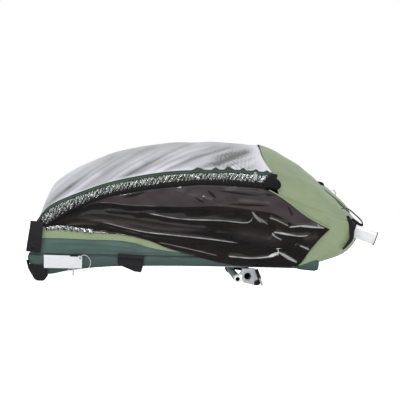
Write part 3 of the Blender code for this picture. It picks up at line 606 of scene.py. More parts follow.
SAGE = woven("sage_fabric", (0.285, 0.356, 0.206), (0.150, 0.198, 0.104), worn=(0.36, 0.43, 0.28))
PINE = woven("pine_fabric", (0.072, 0.132, 0.116), (0.026, 0.047, 0.042), sheen=0.12, worn=(0.11, 0.18, 0.16))
PINE_PIPING = woven("pine_piping", (0.030, 0.058, 0.040), (0.014, 0.028, 0.020), 0.0006, sheen=0.08)
GREEN_TAPE = woven(
    "green_tape", (0.060, 0.110, 0.062), (0.022, 0.045, 0.028), 0.0006, 0.45, 0.08, worn=(0.30, 0.36, 0.30)
)
SAGE_PIPING = woven("sage_piping", (0.330, 0.420, 0.250), (0.210, 0.270, 0.150), 0.0006)
BLACK_BINDING = web("black_binding", (0.007, 0.0065, 0.008), (0.018, 0.017, 0.020), pitch=0.0014)
WEBBING = web("black_webbing", (0.009, 0.008, 0.011), (0.026, 0.023, 0.029))
MESH = mesh_cloth("mesh_fabric")
VINYL = window_film("tinted_vinyl")
CLEAR = clear_film("clear_vinyl")
ELASTIC = gathered_band("black_elastic")
CORD = tracer_cord("handle_cord")
THREAD_DARK = web("dark_thread", (0.014, 0.022, 0.019), (0.035, 0.050, 0.045), pitch=0.0005)
SEAT = upholstery("seat_fabric")
ALUMINIUM = metal("aluminium", (0.90, 0.90, 0.925), (0.74, 0.74, 0.77), 0.15, 0.40)
CAST = metal("cast_aluminium", (0.56, 0.57, 0.61), (0.38, 0.385, 0.41), 0.35, 0.42, (3.0, 3.0, 3.0), 0.6)
STEEL = metal("zinc_steel", (0.66, 0.66, 0.68), (0.40, 0.39, 0.39), 0.60, 0.30, (4.0, 4.0, 4.0))
PLASTIC = moulded("black_plastic", (0.006, 0.005, 0.006), (0.016, 0.013, 0.016))
RED = moulded("red_plastic", (0.40, 0.025, 0.018), (0.55, 0.10, 0.07), 0.42)
CARD = board("white_card")
NYLON = filament("clear_nylon")


# Camera, light and stage ---------------------------------------------------------------------
def make_camera():
    lens = bpy.data.cameras.new("camera")
    lens.lens = 97.0
    lens.sensor_width = 36.0
    lens.clip_start, lens.clip_end = 0.05, 40.0
    camera = bpy.data.objects.new("camera", lens)
    bpy.context.scene.collection.objects.link(camera)
    place, aim = Vector((-0.053, -3.60, 0.215)), Vector((-0.011, -0.40, 0.251))
    look = (aim - place).to_track_quat("-Z", "Y").to_matrix() @ Matrix.Rotation(math.radians(1.15), 3, "Z")
    camera.matrix_world = Matrix.Translation(place) @ look.to_4x4()
    bpy.context.scene.camera = camera


def area_light(name, place, aim, size, power, colour=(1.0, 1.0, 1.0)):
    lamp = bpy.data.lights.new(name, "AREA")
    lamp.shape = "RECTANGLE"
    lamp.size, lamp.size_y = size
    lamp.energy = power
    lamp.color = colour
    made = bpy.data.objects.new(name, lamp)
    bpy.context.scene.collection.objects.link(made)
    made.location = place
    made.rotation_euler = (Vector(aim) - Vector(place)).to_track_quat("-Z", "Y").to_euler()
    return made


def gloss_light(name, place, aim, size, power):
    area_light(name, place, aim, size, power).visible_diffuse = False


def make_studio():
    """A white floor and sky. Gloss sees a darker room, as in a studio with black flags."""
    world = bpy.data.worlds.new("studio")
    world.use_nodes = True
    bpy.context.scene.world = world
    tree = world.node_tree
    ground = tree.nodes["Background"]
    paths = tree.nodes.new("ShaderNodeLightPath")
    ground.inputs["Color"].default_value = (1.0, 1.0, 1.0, 1.0)
    level = None
    for ray, strength in (("Is Glossy Ray", 0.16), ("Is Camera Ray", 1.0)):
        choice = tree.nodes.new("ShaderNodeMapRange")
        tree.links.new(paths.outputs[ray], choice.inputs["Value"])
        choice.inputs[4].default_value = strength
        if level is None:
            choice.inputs[3].default_value = 0.56
        else:
            tree.links.new(level, choice.inputs[3])
        level = choice.outputs[0]
    tree.links.new(level, ground.inputs["Strength"])

    floor_look = Look("pale_floor", Roughness=0.9)
    grain = floor_look.noise(floor_look.places(False), 3.0, 2.0)
    rays = floor_look.put("LightPath").outputs
    body = floor_look.mix(floor_look.span(grain, 0.3, 0.7), (0.93, 0.93, 0.93), (0.90, 0.90, 0.90))
    floor_look.give("Base Color", floor_look.mix(rays["Is Glossy Ray"], body, (0.10, 0.10, 0.10)))
    floor_look.shader.inputs["Emission Color"].default_value = (1.0, 1.0, 1.0, 1.0)
    seen = floor_look.span(rays["Is Camera Ray"], 0.0, 1.0, 0.0, 1.05)
    bounced = floor_look.span(rays["Is Diffuse Ray"], 0.0, 1.0, 0.0, 0.38)
    floor_look.give("Emission Strength", floor_look.sum(seen, bounced))
    floor = add_piece(
        "floor", [(-30, -30, 0), (30, -30, 0), (30, 30, 0), (-30, 30, 0)], [(0, 1, 2, 3)], floor_look.material
    )
    floor.location = (0.0, 0.0, -0.0005)
    area_light("overhead", (0.1, -0.5, 2.6), (0.0, 0.0, 0.2), (2.6, 2.0), 16.0)
    area_light("front_high", (-0.4, -2.4, 2.3), (0.0, -0.3, 0.2), (1.6, 0.9), 17.0)
    area_light("back", (0.0, 2.6, 2.0), (0.0, 0.3, 0.2), (2.6, 1.4), 16.0)
    area_light("low", (-1.3, -1.9, 0.16), (0.12, -0.10, 0.03), (0.9, 0.16), 3.5)
    area_light("rear", (2.6, -0.4, 1.4), (0.4, 0.0, 0.2), (1.6, 1.6), 7.0)
    gloss_light("gloss_wall", (0.0, -3.08, 1.47), (0.0, -0.36, 0.2), (4.0, 1.2), 9.0)
    # Narrow tubes that only gloss sees, for the bright lines along the creases of the film
    gloss_light("tube_high", (0.0, -1.3, 2.0), (0.0, -0.36, 0.2), (3.0, 0.10), 60.0)
    gloss_light("tube_middle", (0.1, -1.7, 1.3), (0.0, -0.36, 0.2), (3.0, 0.05), 22.0)
    gloss_light("tube_front", (-1.9, -1.6, 0.9), (-0.2, -0.36, 0.2), (0.10, 1.2), 14.0)
    scene = bpy.context.scene
    scene.view_settings.view_transform = "Standard"
    scene.view_settings.look = "None"


# Covers --------------------------------------------------------------------------------------
def arch(side_line, crown_line, shares, across, fullness):
    """Ribs that rise from two side lines to a crown line, one row for each share."""
    side, crown = resample(side_line, shares), resample(crown_line, shares)
    rise = 1 - np.abs(across) ** fullness
    flat = side[:, None] + (crown - side)[:, None] * rise[None, :, None]
    width = np.broadcast_to(across * COVER_HALF, flat.shape[:2])
    return np.stack([flat[..., 0], width, flat[..., 1]], axis=2)


def joint_pull(z):
    """How far the sagging seam between the mesh and the roof lies ahead of a straight line."""
    return 0.010 * np.sin(math.pi * np.clip((z - 0.336) / 0.106, 0, 1))


def make_mesh_cover():
    shares, across = np.linspace(0, 1, 210), np.linspace(-1, 1, 231)
    grid = arch(ZIP_LINE, COVER_CROWN, shares, across, 2.3)
    x, y, z = grid[..., 0], grid[..., 1], grid[..., 2]
    # Wrinkles hang from the bow at the back and run down and forward, steeper towards the front
    lean = z - 0.42 * x + 0.55 * x**2 + 0.004 * ripple(x, z, 0.16, 4) + 0.006 * ripple(x, y, 0.5, 9)
    tight = np.clip((0.19 - x) / 0.10, 0, 1) * np.clip((x + 0.52) / 0.08, 0, 1)
    sides = np.clip(
        (np.abs(across)[None, :] - 0.38) / 0.40, 0, 1
    ) * np.clip((1.0 - np.abs(across))[None, :] / 0.035, 0, 1)
    wide = crumple(lean, 0.018, 0.034, 12, (0.0, 1.0))
    wide = 0.5 * (wide + np.roll(wide, 1, axis=0))
    narrow = crumple(lean + 0.003 * ripple(x, z, 0.06, 5), 0.007, 0.014, 21, (0.0, 1.0))
    relief = tight * sides * (0.0060 * wide + 0.0016 * narrow) + 0.0012 * ripple(x, y, 0.10, 6)
    # Painted shade: dark lines along the folds near each side, summed here for the shade attribute
    shade = np.zeros(x.shape)
    for sign in (-1.0, 1.0):
        near = np.clip(sign * y / 0.05, 0, 1)
        relief += near * fold(
            x, z, ((0.168, 0.408), (0.110, 0.385), (0.045, 0.362), (-0.010, 0.352)), 0.010, 0.007, 0.012
        )
        relief -= near * fold(
            x, z, ((0.172, 0.420), (0.120, 0.398), (0.060, 0.374), (0.020, 0.362)), 0.012, 0.009
        )
        shade += near * fold(
            x, z, ((0.176, 0.424), (0.128, 0.405), (0.070, 0.380), (0.010, 0.356)), 0.010, 0.85, 0.013, 0.25
        )
        shade += near * fold(x, z, ((-0.02, 0.440), (-0.12, 0.402), (-0.20, 0.350)), 0.008, 0.28, 0.012)
        shade += near * fold(x, z, ((-0.13, 0.430), (-0.24, 0.385), (-0.33, 0.315)), 0.008, 0.24, 0.014)
        shade += near * fold(x, z, ((-0.27, 0.400), (-0.36, 0.345), (-0.43, 0.265)), 0.009, 0.26, 0.012)
        shade += near * fold(x, z, ((0.06, 0.435), (-0.05, 0.385), (-0.16, 0.345)), 0.007, 0.20, 0.010)
    grid = grid + normals_of(grid) * (relief - 0.002)[..., None]
    grid[..., 0] -= joint_pull(grid[..., 2]) * np.clip((shares[:, None] - 0.85) / 0.15, 0, 1)
    # More painted shade: darker in the wrinkles' valleys and narrow stripes, near the crown, and in a patch around x
    # = 0.10
    valley = np.clip(1 - 1.35 * wide, 0, 1) * tight * sides
    drift = np.clip(0.5 + 0.7 * ripple(lean, 0.35 * x, 0.075, 14), 0, 1)
    slim = crumple(lean + 0.002 * ripple(x, z, 0.10, 16), 0.006, 0.016, 22, (0.0, 1.0))
    dark = shade + 0.66 * valley * (0.35 + 0.65 * drift) + 0.20 * drift * tight * sides
    dark = dark + 0.42 * np.clip(1 - 1.5 * slim, 0, 1) * tight * sides * (0.4 + 0.6 * (1 - drift))
    top = np.clip((0.72 - np.abs(across)[None, :]) / 0.35, 0, 1) * np.clip((x + 0.42) / 0.15, 0, 1)
    dark = dark + 0.62 * top * tight * (0.50 + 0.50 * drift)
    noisy = np.exp(-(((x - 0.10) / 0.06) ** 2)) * np.clip(0.5 + ripple(x - z, x + 2 * z, 0.02, 15), 0, 1)
    dark = dark + 0.35 * noisy * sides
    piece = cloth("front_mesh_cover", grid, MESH, 0.0009, shade=np.clip(dark, 0, 1))
    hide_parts("mesh_cover")
    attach(piece, "upper_frame")
    return piece


REAR_SIDE = (
    (0.436, 0.196), (0.448, 0.172), (0.448, 0.149), (0.436, 0.130), (0.414, 0.104), (0.390, 0.086), (0.354, 0.072),
    (0.278, 0.053),
)
REAR_MIDDLE = (
    (0.474, 0.225), (0.494, 0.195), (0.500, 0.160), (0.486, 0.125), (0.455, 0.098), (0.400, 0.080),
    (0.352, 0.074),
)
EDGE_ABOVE = ((0.225, 0.2705), (0.262, 0.246), (0.316, 0.2065), (0.378, 0.1725))
EDGE_BELOW = ((0.378, 0.1725), (0.350, 0.142), (0.321, 0.109), (0.295, 0.071), (0.270, 0.056))


def sage_relief(x, z):
    """Soft folds of the sage fabric in the side view."""
    total = 0.0014 * ripple(x, z, 0.09, 31) + 0.0006 * ripple(x, z, 0.035, 32)
    total = total + fold(
        x, z, ((0.262, 0.330), (0.330, 0.302), (0.372, 0.262), (0.412, 0.205)), 0.014, 0.0050, 0.020, 0.3
    )
    total = total - fold(
        x, z, ((0.250, 0.308), (0.320, 0.272), (0.384, 0.222), (0.430, 0.172)), 0.014, 0.0022, 0.016, 0.3
    )
    total = total + fold(
        x, z, ((0.300, 0.262), (0.360, 0.222), (0.410, 0.172), (0.432, 0.140)), 0.012, 0.0045, 0.012, 0.3
    )
    total = total + fold(x, z, ((0.378, 0.172), (0.405, 0.150), (0.420, 0.128)), 0.010, 0.0022)
    total = total - fold(x, z, ((0.352, 0.140), (0.385, 0.120), (0.404, 0.100)), 0.008, 0.0020)
    total = total + fold(x, z, ((0.305, 0.068), (0.345, 0.084), (0.380, 0.094)), 0.007, 0.0018)
    total = total - fold(x, z, ((0.190, 0.395), (0.235, 0.360), (0.290, 0.330)), 0.016, 0.0030, 0.022, 0.35)
    return 1.45 * total


def make_roof():
    """The sage fabric: the roof, the sides round the windows' rear corners, and the slack back."""
    shares, rear_shares = np.linspace(0, 1, 120), np.linspace(0, 1, 70)
    across, reach = np.linspace(-1, 1, 141), np.linspace(0, 1, 40)
    roof = arch(ROOF_SIDE, ROOF_CROWN, shares, across, 3.0)
    x, y, z = roof[..., 0], roof[..., 1], roof[..., 2]
    lift = sage_relief(x, z) * np.clip(np.abs(across)[None, :] * 2.2 - 0.2, 0.15, 1)
    lift = lift * np.clip((1 - np.abs(across))[None, :] / 0.06, 0, 1)
    lift += 0.002 * ripple(x, y, 0.22, 33) * np.clip(1.4 - np.abs(across), 0, 1)[None, :]
    edge = np.clip(np.minimum(shares[:, None], 1 - shares[:, None]) / 0.06, 0, 1)
    roof = roof + normals_of(roof) * (lift * edge)[..., None]
    roof[..., 0] -= joint_pull(roof[..., 2]) * np.clip(1 - shares[:, None] / 0.15, 0, 1)
    parts, faces, first = [roof.reshape(-1, 3)], grid_faces(len(shares), len(across)), len(shares) * len(across)
    flats = [np.stack([x, y + (0.30 - z) * np.sign(y)], axis=2).reshape(-1, 2)]

    def add(grid, flip, flat):
        nonlocal first
        rows, columns = grid.shape[:2]
        for face in grid_faces(rows, columns, flip=flip):
            faces.append(tuple(first + k for k in face))
        parts.append(grid.reshape(-1, 3))
        flats.append(flat.reshape(-1, 2))
        first += rows * columns

    above, below = resample(EDGE_ABOVE, shares), resample(EDGE_BELOW, rear_shares)
    side, rear = resample(ROOF_SIDE, shares), resample(REAR_SIDE, rear_shares)
    for sign in (-1.0, 1.0):
        for outer, inner in ((side, above), (rear, below)):
            flat = outer[:, None] + (inner - outer)[:, None] * reach[None, :, None]
            x, z = flat[..., 0], flat[..., 1]
            pull = np.clip(reach / 0.25, 0, 1)[None, :] * np.clip((1.05 - reach) / 0.2, 0, 1)[None, :]
            out = COVER_HALF + sage_relief(x, z) * pull
            if inner is below:
                out = out - 0.010 * (1 - reach[None, :]) ** 3 * np.clip(rear_shares[:, None] * 6, 0, 1)
            grid = np.stack([x, sign * out, z], axis=2)
            add(grid, sign < 0, np.stack([x, sign * (0.66 - z)], axis=2))
    rear_shares = np.linspace(0, 0.84, 60)
    side, middle = resample(REAR_SIDE, rear_shares), resample(REAR_MIDDLE, rear_shares / 0.84)
    rise = 1 - np.abs(across) ** 3.0
    flat = side[:, None] + (middle - side)[:, None] * rise[None, :, None]
    y = np.broadcast_to(across * COVER_HALF, flat.shape[:2])
    y = y - 0.010 * np.sign(y) * np.abs(across) ** 30 * np.clip(rear_shares[:, None] * 6, 0, 1)
    grid = np.stack([flat[..., 0], y, flat[..., 1]], axis=2)
    slack = 0.004 * ripple(y, grid[..., 2], 0.12, 35) + 0.002 * crumple(
        y + 0.5 * grid[..., 2], 0.02, 0.05, 36
    )
    slack = slack * np.clip(
        (1 - np.abs(across)) / 0.2, 0, 1
    )[None, :] * np.clip(rear_shares[:, None] / 0.1, 0, 1)
    grid = grid + normals_of(grid) * (slack - 0.001 * (slack != 0))[..., None]
    add(grid, False, np.stack([0.9 - grid[..., 2], y], axis=2))
    piece = add_piece("sage_body_fabric", np.concatenate(parts), faces, SAGE, np.concatenate(flats))
    cage = bmesh.new()
    cage.from_mesh(piece.data)
    bmesh.ops.remove_doubles(cage, verts=cage.verts, dist=2e-5)
    cage.to_mesh(piece.data)
    cage.free()
    piece.data.shade_smooth()
    harden(piece, 0.0012)
    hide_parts("roof_panel", "rear_panel", "side_panel_left", "side_panel_right")
    follow_fold(piece)
    return piece


WINDOW_FOLDS = (
    # route in the side view, reach above, height, reach below
    (
        ((-0.300, 0.222), (-0.247, 0.235), (-0.186, 0.231), (-0.033, 0.232), (0.113, 0.231), (0.235, 0.220)),
        0.050, 0.0040, 0.009
    ),
    (
        ((-0.210, 0.212), (-0.176, 0.209), (-0.109, 0.200), (-0.032, 0.192), (0.069, 0.189), (0.150, 0.187)),
        0.012, 0.0045, 0.006
    ),
    (((0.148, 0.222), (0.160, 0.202), (0.178, 0.192), (0.200, 0.186)), 0.010, 0.0045, 0.007),
    (((0.196, 0.206), (0.230, 0.194), (0.262, 0.180)), 0.008, 0.0035, 0.006),
    (((0.250, 0.172), (0.290, 0.176), (0.330, 0.177), (0.372, 0.175)), 0.012, 0.0050, 0.006),
    (((0.208, 0.158), (0.248, 0.150), (0.290, 0.150), (0.335, 0.154)), 0.009, 0.0050, 0.006),
    (((0.208, 0.153), (0.222, 0.142), (0.244, 0.130)), 0.006, 0.0040, 0.008),
    (((0.276, 0.124), (0.300, 0.116), (0.326, 0.108)), 0.007, 0.0035, 0.006),
    (
        ((0.060, 0.086), (0.132, 0.079), (0.190, 0.078), (0.232, 0.088), (0.255, 0.082), (0.300, 0.066)),
        0.011, 0.0055, 0.006
    ),
    (((0.228, 0.112), (0.229, 0.100), (0.231, 0.086)), 0.006, 0.0045, 0.006),
    (
        ((-0.400, 0.190), (-0.338, 0.203), (-0.270, 0.199), (-0.194, 0.188), (-0.071, 0.172), (0.050, 0.164)),
        0.012, 0.0050, 0.008
    ),
    (
        ((-0.380, 0.176), (-0.319, 0.181), (-0.230, 0.166), (-0.146, 0.149), (-0.002, 0.137), (0.130, 0.122)),
        0.009, 0.0042, 0.005
    ),
    (((-0.430, 0.165), (-0.330, 0.170), (-0.240, 0.154), (-0.170, 0.141)), 0.006, 0.0028, 0.004),
    (((-0.250, 0.150), (-0.168, 0.138), (-0.100, 0.131), (-0.030, 0.122)), 0.006, 0.0026, 0.004),
    (((-0.160, 0.128), (-0.100, 0.113), (-0.040, 0.101), (0.030, 0.090)), 0.006, 0.0026, 0.005),
    (((0.010, 0.152), (0.100, 0.150), (0.180, 0.138), (0.250, 0.122)), 0.016, 0.0034, 0.012),
    (((-0.090, 0.280), (-0.040, 0.262), (0.010, 0.243)), 0.012, 0.0030, 0.010),
    (((-0.005, 0.262), (0.012, 0.254), (0.030, 0.247)), 0.005, 0.0030, 0.005),
    (((0.055, 0.280), (0.120, 0.274), (0.200, 0.262)), 0.008, 0.0035, 0.010),
    (((0.098, 0.250), (0.150, 0.246), (0.205, 0.244)), 0.006, 0.0030, 0.006),
    (((-0.300, 0.215), (-0.240, 0.211), (-0.180, 0.206)), 0.006, 0.0022, 0.004),
)
PAINTED_REFLECTIONS = (
    # drifts of painted paler, purplish reflection on the film: route, reach above, strength, reach below
    (
        (
            (-0.422, 0.185), (-0.365, 0.192), (-0.300, 0.184), (-0.204, 0.176), (-0.128, 0.163),
            (-0.051, 0.162), (0.040, 0.163)
        ),
        0.0070, 0.50, 0.0050
    ),
    (((0.296, 0.142), (0.330, 0.146), (0.352, 0.152)), 0.008, 0.40, 0.008),
    (((-0.420, 0.172), (-0.360, 0.176), (-0.300, 0.172)), 0.005, 0.22, 0.005),
    (((0.075, 0.161), (0.164, 0.147), (0.256, 0.130)), 0.012, 0.22, 0.012),
)


def wall_relief(x, z):
    """The side walls' folds, shared by the fabrics that lie over one another at the front."""
    total = 0.0010 * ripple(x, z, 0.05, 51)
    for route, above, height, beneath in (
        (((-0.490, 0.112), (-0.380, 0.116), (-0.270, 0.110), (-0.180, 0.099)), 0.012, 0.0045, 0.008),
        (((-0.420, 0.097), (-0.300, 0.099), (-0.200, 0.092)), 0.008, 0.0028, 0.006),
        (((-0.230, 0.094), (-0.130, 0.090), (-0.030, 0.087)), 0.006, 0.0020, 0.004),
        (((-0.490, 0.143), (-0.380, 0.142), (-0.260, 0.135), (-0.160, 0.118)), 0.012, 0.0025, 0.012),
    ):
        total = total + fold(x, z, route, above, height, beneath)
    return total


def patch(x, z, centre, half, turn):
    """1 inside a tilted lens shape of the side view and 0 outside it, over a sharp edge."""
    along = (x - centre[0]) * math.cos(turn) + (z - centre[1]) * math.sin(turn)
    over = (z - centre[1]) * math.cos(turn) - (x - centre[0]) * math.sin(turn)
    reach = 1 - (along / half[0]) ** 2 - np.abs(over / half[1])
    return np.clip(reach * half[1] / 0.0012, 0, 1)


LENSES = (
    # dark, tight places cut out of the painted reflection along the top edge: centre, half sizes, turn
    ((-0.207, 0.2635), (0.038, 0.0060), 0.28),
    ((-0.012, 0.2520), (0.020, 0.0040), -0.57),
    ((0.025, 0.2690), (0.019, 0.0050), -0.75),
    ((0.135, 0.2395), (0.072, 0.0045), -0.02),
    ((0.134, 0.2740), (0.092, 0.0065), -0.06),
    ((0.262, 0.2230), (0.018, 0.0040), -1.10),
    ((-0.330, 0.2440), (0.030, 0.0035), 0.35),
)
PAINTED_HIGHLIGHTS = (
    # painted white highlights along the creases of the film: route, half width, strength
    (
        (
            (-0.177, 0.210), (-0.144, 0.205), (-0.090, 0.196), (-0.033, 0.192), (0.051, 0.191),
            (0.117, 0.186), (0.138, 0.188), (0.147, 0.197), (0.153, 0.216)
        ),
        0.0011, 0.80
    ),
    (
        (
            (-0.319, 0.182), (-0.281, 0.175), (-0.242, 0.166), (-0.173, 0.152), (-0.108, 0.146),
            (-0.051, 0.141), (0.007, 0.136), (0.053, 0.131), (0.122, 0.123)
        ),
        0.0011, 0.75
    ),
    (((-0.142, 0.123), (-0.089, 0.114), (-0.012, 0.098), (0.053, 0.084)), 0.0010, 0.32),
    (((0.255, 0.174), (0.274, 0.177), (0.309, 0.180), (0.347, 0.176), (0.370, 0.174)), 0.0015, 0.95),
    (((0.208, 0.160), (0.240, 0.157), (0.271, 0.150), (0.298, 0.149), (0.321, 0.152)), 0.0012, 0.90),
    (((0.208, 0.158), (0.215, 0.148), (0.237, 0.136)), 0.0014, 0.75),
    (((0.291, 0.121), (0.306, 0.115), (0.322, 0.108)), 0.0016, 0.80),
    (
        (
            (0.071, 0.085), (0.108, 0.082), (0.146, 0.080), (0.184, 0.083), (0.211, 0.088), (0.224, 0.095),
            (0.227, 0.108)
        ),
        0.0014, 0.85
    ),
    (((0.227, 0.104), (0.238, 0.093), (0.261, 0.084), (0.288, 0.069)), 0.0018, 0.60),
    (((0.197, 0.203), (0.220, 0.196), (0.244, 0.185), (0.259, 0.178)), 0.0016, 0.45),
    (((0.149, 0.220), (0.155, 0.204), (0.171, 0.191), (0.194, 0.186)), 0.0010, 0.32),
    (((-0.320, 0.236), (-0.282, 0.238), (-0.225, 0.232), (-0.129, 0.230)), 0.0010, 0.15),
)


FACET_HIGHLIGHTS = (
    # painted highlights on small faces beside the creases: centre, half sizes, turn, strength
    ((0.214, 0.0915), (0.022, 0.0050), 0.42, 0.85),
    ((0.227, 0.0990), (0.012, 0.0022), 1.50, 0.75),
    ((0.255, 0.0850), (0.036, 0.0048), -0.52, 0.50),
    ((0.160, 0.2030), (0.024, 0.0042), -0.85, 0.30),
    ((0.178, 0.1930), (0.024, 0.0030), -0.55, 0.24),
    ((0.322, 0.1765), (0.046, 0.0022), -0.06, 0.60),
    ((0.250, 0.1540), (0.040, 0.0030), -0.12, 0.45),
)


def make_windows():
    x = np.linspace(-0.468, 0.378, 620)[:, None]
    v = np.linspace(0, 1, 150)[None, :]
    tucked = 0.006 * np.clip((0.178 - x) / 0.02, 0, 1)
    low, high = window_bottom_z(x), window_top_z(x) + tucked
    z = low + (high - low) * v
    x = np.broadcast_to(x, z.shape)
    relief = 0.0003 * ripple(x * 0.4, z, 0.022, 41) + 0.0006 * ripple(x, z, 0.10, 42)
    for route, above, height, beneath in WINDOW_FOLDS:
        relief += 0.7 * fold(x, z, route, above, height, beneath)
    crest = crest_z(x)
    # Painted reflection: paler and purplish in a band above the crest along the top edge and in drifts lower down,
    # with dark lenses cut out of it; the shade attribute carries it into the film's colour
    above_crest = np.clip((z - crest) / 0.0015, 0, 1)
    painted_reflection = 0.66 * above_crest * np.clip((x + 0.40) / 0.05, 0, 1) * (0.85 + 0.15 * ripple(x, z, 0.05, 43))
    for route, above, strength, beneath in PAINTED_REFLECTIONS:
        painted_reflection = np.maximum(painted_reflection, strength * fold(x, z, route, above, 1.0, beneath, 0.25))
    for centre, half, turn in LENSES:
        painted_reflection = painted_reflection * (1 - 0.9 * patch(x, z, centre, half, turn))
    # Painted white highlights along the creases and on small faces beside them; the crease attribute carries them
    # into the film's colour
    crease = np.zeros(z.shape)
    for route, width, strength in PAINTED_HIGHLIGHTS:
        line = fold(x, z, route, width, 1.0, width, 0.10)
        patchy = 0.80 + 0.30 * ripple(x, z, 0.035, 47)
        crease = np.maximum(crease, strength * patchy * np.clip(1.6 * line - 0.35, 0, 1))
    for centre, half, turn, strength in FACET_HIGHLIGHTS:
        crease = np.maximum(crease, strength * patch(x, z, centre, half, turn))
    rim = np.clip(np.minimum((z - low), (high - z)) / 0.010, 0, 1)
    rim = rim * rim * (3 - 2 * rim)
    foot = np.clip(1 - (z - low) / 0.016, 0, 1) ** 2 * np.clip((0.02 - x) / 0.05, 0, 1)
    lap = (wall_relief(x, z) + 0.0012) * foot
    for side, sign in SIDES:
        grid = np.stack([x, sign * (0.3632 + relief * rim + np.maximum(lap, 0)), z], axis=2)
        window = cloth(
            f"tinted_window_{side}", grid, VINYL, 0.0007, flip=sign > 0, shade=np.clip(painted_reflection, 0, 1), crease=crease
        )
        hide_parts(f"side_window_{side}")
        follow_fold(window)
        # Piping: pale along the upper rear edge, black round the rear corner and along the foot
        def edge(points, count, out):
            line = resample(points, np.linspace(0, 1, count))
            return np.stack([line[:, 0], np.full(count, sign * out), line[:, 1]], axis=1)

        top = sweep(
            f"window_piping_{side}", edge(
                ((0.196, 0.286), (0.227, 0.2695)) + EDGE_ABOVE[1:3] + ((0.380, 0.1730),), 60, 0.3655
            ),
            oval(0.0030, 0.0030, 8, 2.0), SAGE_PIPING,
        )
        rear_edge = ((0.380, 0.1730), (0.350, 0.1415), (0.322, 0.108), (0.2965, 0.0705), (0.2780, 0.0570))
        rear = sweep(
            f"window_binding_{side}", edge(rear_edge, 50, 0.3650), oval(0.0034, 0.0030, 8, 2.0), BLACK_BINDING
        )
        for piece, slot in ((top, "light_fabric"), (rear, "black_webbing")):
            follow_fold(piece)


def make_side_walls():
    """The dark fabric under the windows, and the sage strip between them at the front."""
    for side, sign in SIDES:
        x = np.linspace(-0.517, 0.345, 300)[:, None]
        v = np.linspace(0, 1, 44)[None, :]
        low = np.full(x.shape, TUB_TOP - 0.001)
        high = np.maximum(window_bottom_z(np.clip(x, -0.468, 0.263)) + 0.008, low + 0.004)
        z = low + (high - low) * v
        xs = np.broadcast_to(x, z.shape)
        relief = wall_relief(xs, z) * np.clip((z - low) / 0.01, 0, 1)
        grid = np.stack([xs, sign * (0.3606 + np.maximum(relief, -0.0006)), z], axis=2)
        wall = cloth(f"dark_side_wall_{side}", grid, PINE, 0.0010, flip=sign > 0)
        follow_fold(wall)

        x = np.linspace(-0.505, -0.066, 220)[:, None]
        v = np.linspace(0, 1, 26)[None, :]
        low = strip_bottom_z(x)
        high = np.maximum(window_bottom_z(np.clip(x, -0.468, 0.3)) + 0.008, low + 0.0015)
        z = low + (high - low) * v
        xs = np.broadcast_to(x, z.shape)
        relief = np.maximum(wall_relief(xs, z), -0.0006) + 0.0003 * (1 + ripple(xs, z, 0.03, 55))
        grid = np.stack([xs, sign * (0.3619 + relief), z], axis=2)
        strip = cloth(f"sage_side_strip_{side}", grid, SAGE, 0.0010, flip=sign > 0)
        follow_fold(strip)
        # The clear film's lower edge, crumpled over the strip's front end
        x = np.linspace(-0.470, -0.330, 120)[:, None]
        v = np.linspace(0, 1, 12)[None, :]
        high = window_bottom_z(x) + 0.010
        low = high - 0.014 + 0.004 * crumple(x, 0.006, 0.014, 57)
        z = low + (high - low) * v
        xs = np.broadcast_to(x, z.shape)
        relief = 0.0035 * crumple(xs + 0.8 * z, 0.005, 0.012, 58) * np.sin(math.pi * np.clip(v + 0.1, 0, 1))
        grid = np.stack([xs, sign * (0.3650 + np.maximum(wall_relief(xs, z), 0) + relief), z], axis=2)
        # Its crease attribute at 0.8 puts painted white glints all over the edge
        tail = cloth(f"film_edge_{side}", grid, CLEAR, 0.0005, flip=sign > 0, crease=np.full(z.shape, 0.8))
        follow_fold(tail)


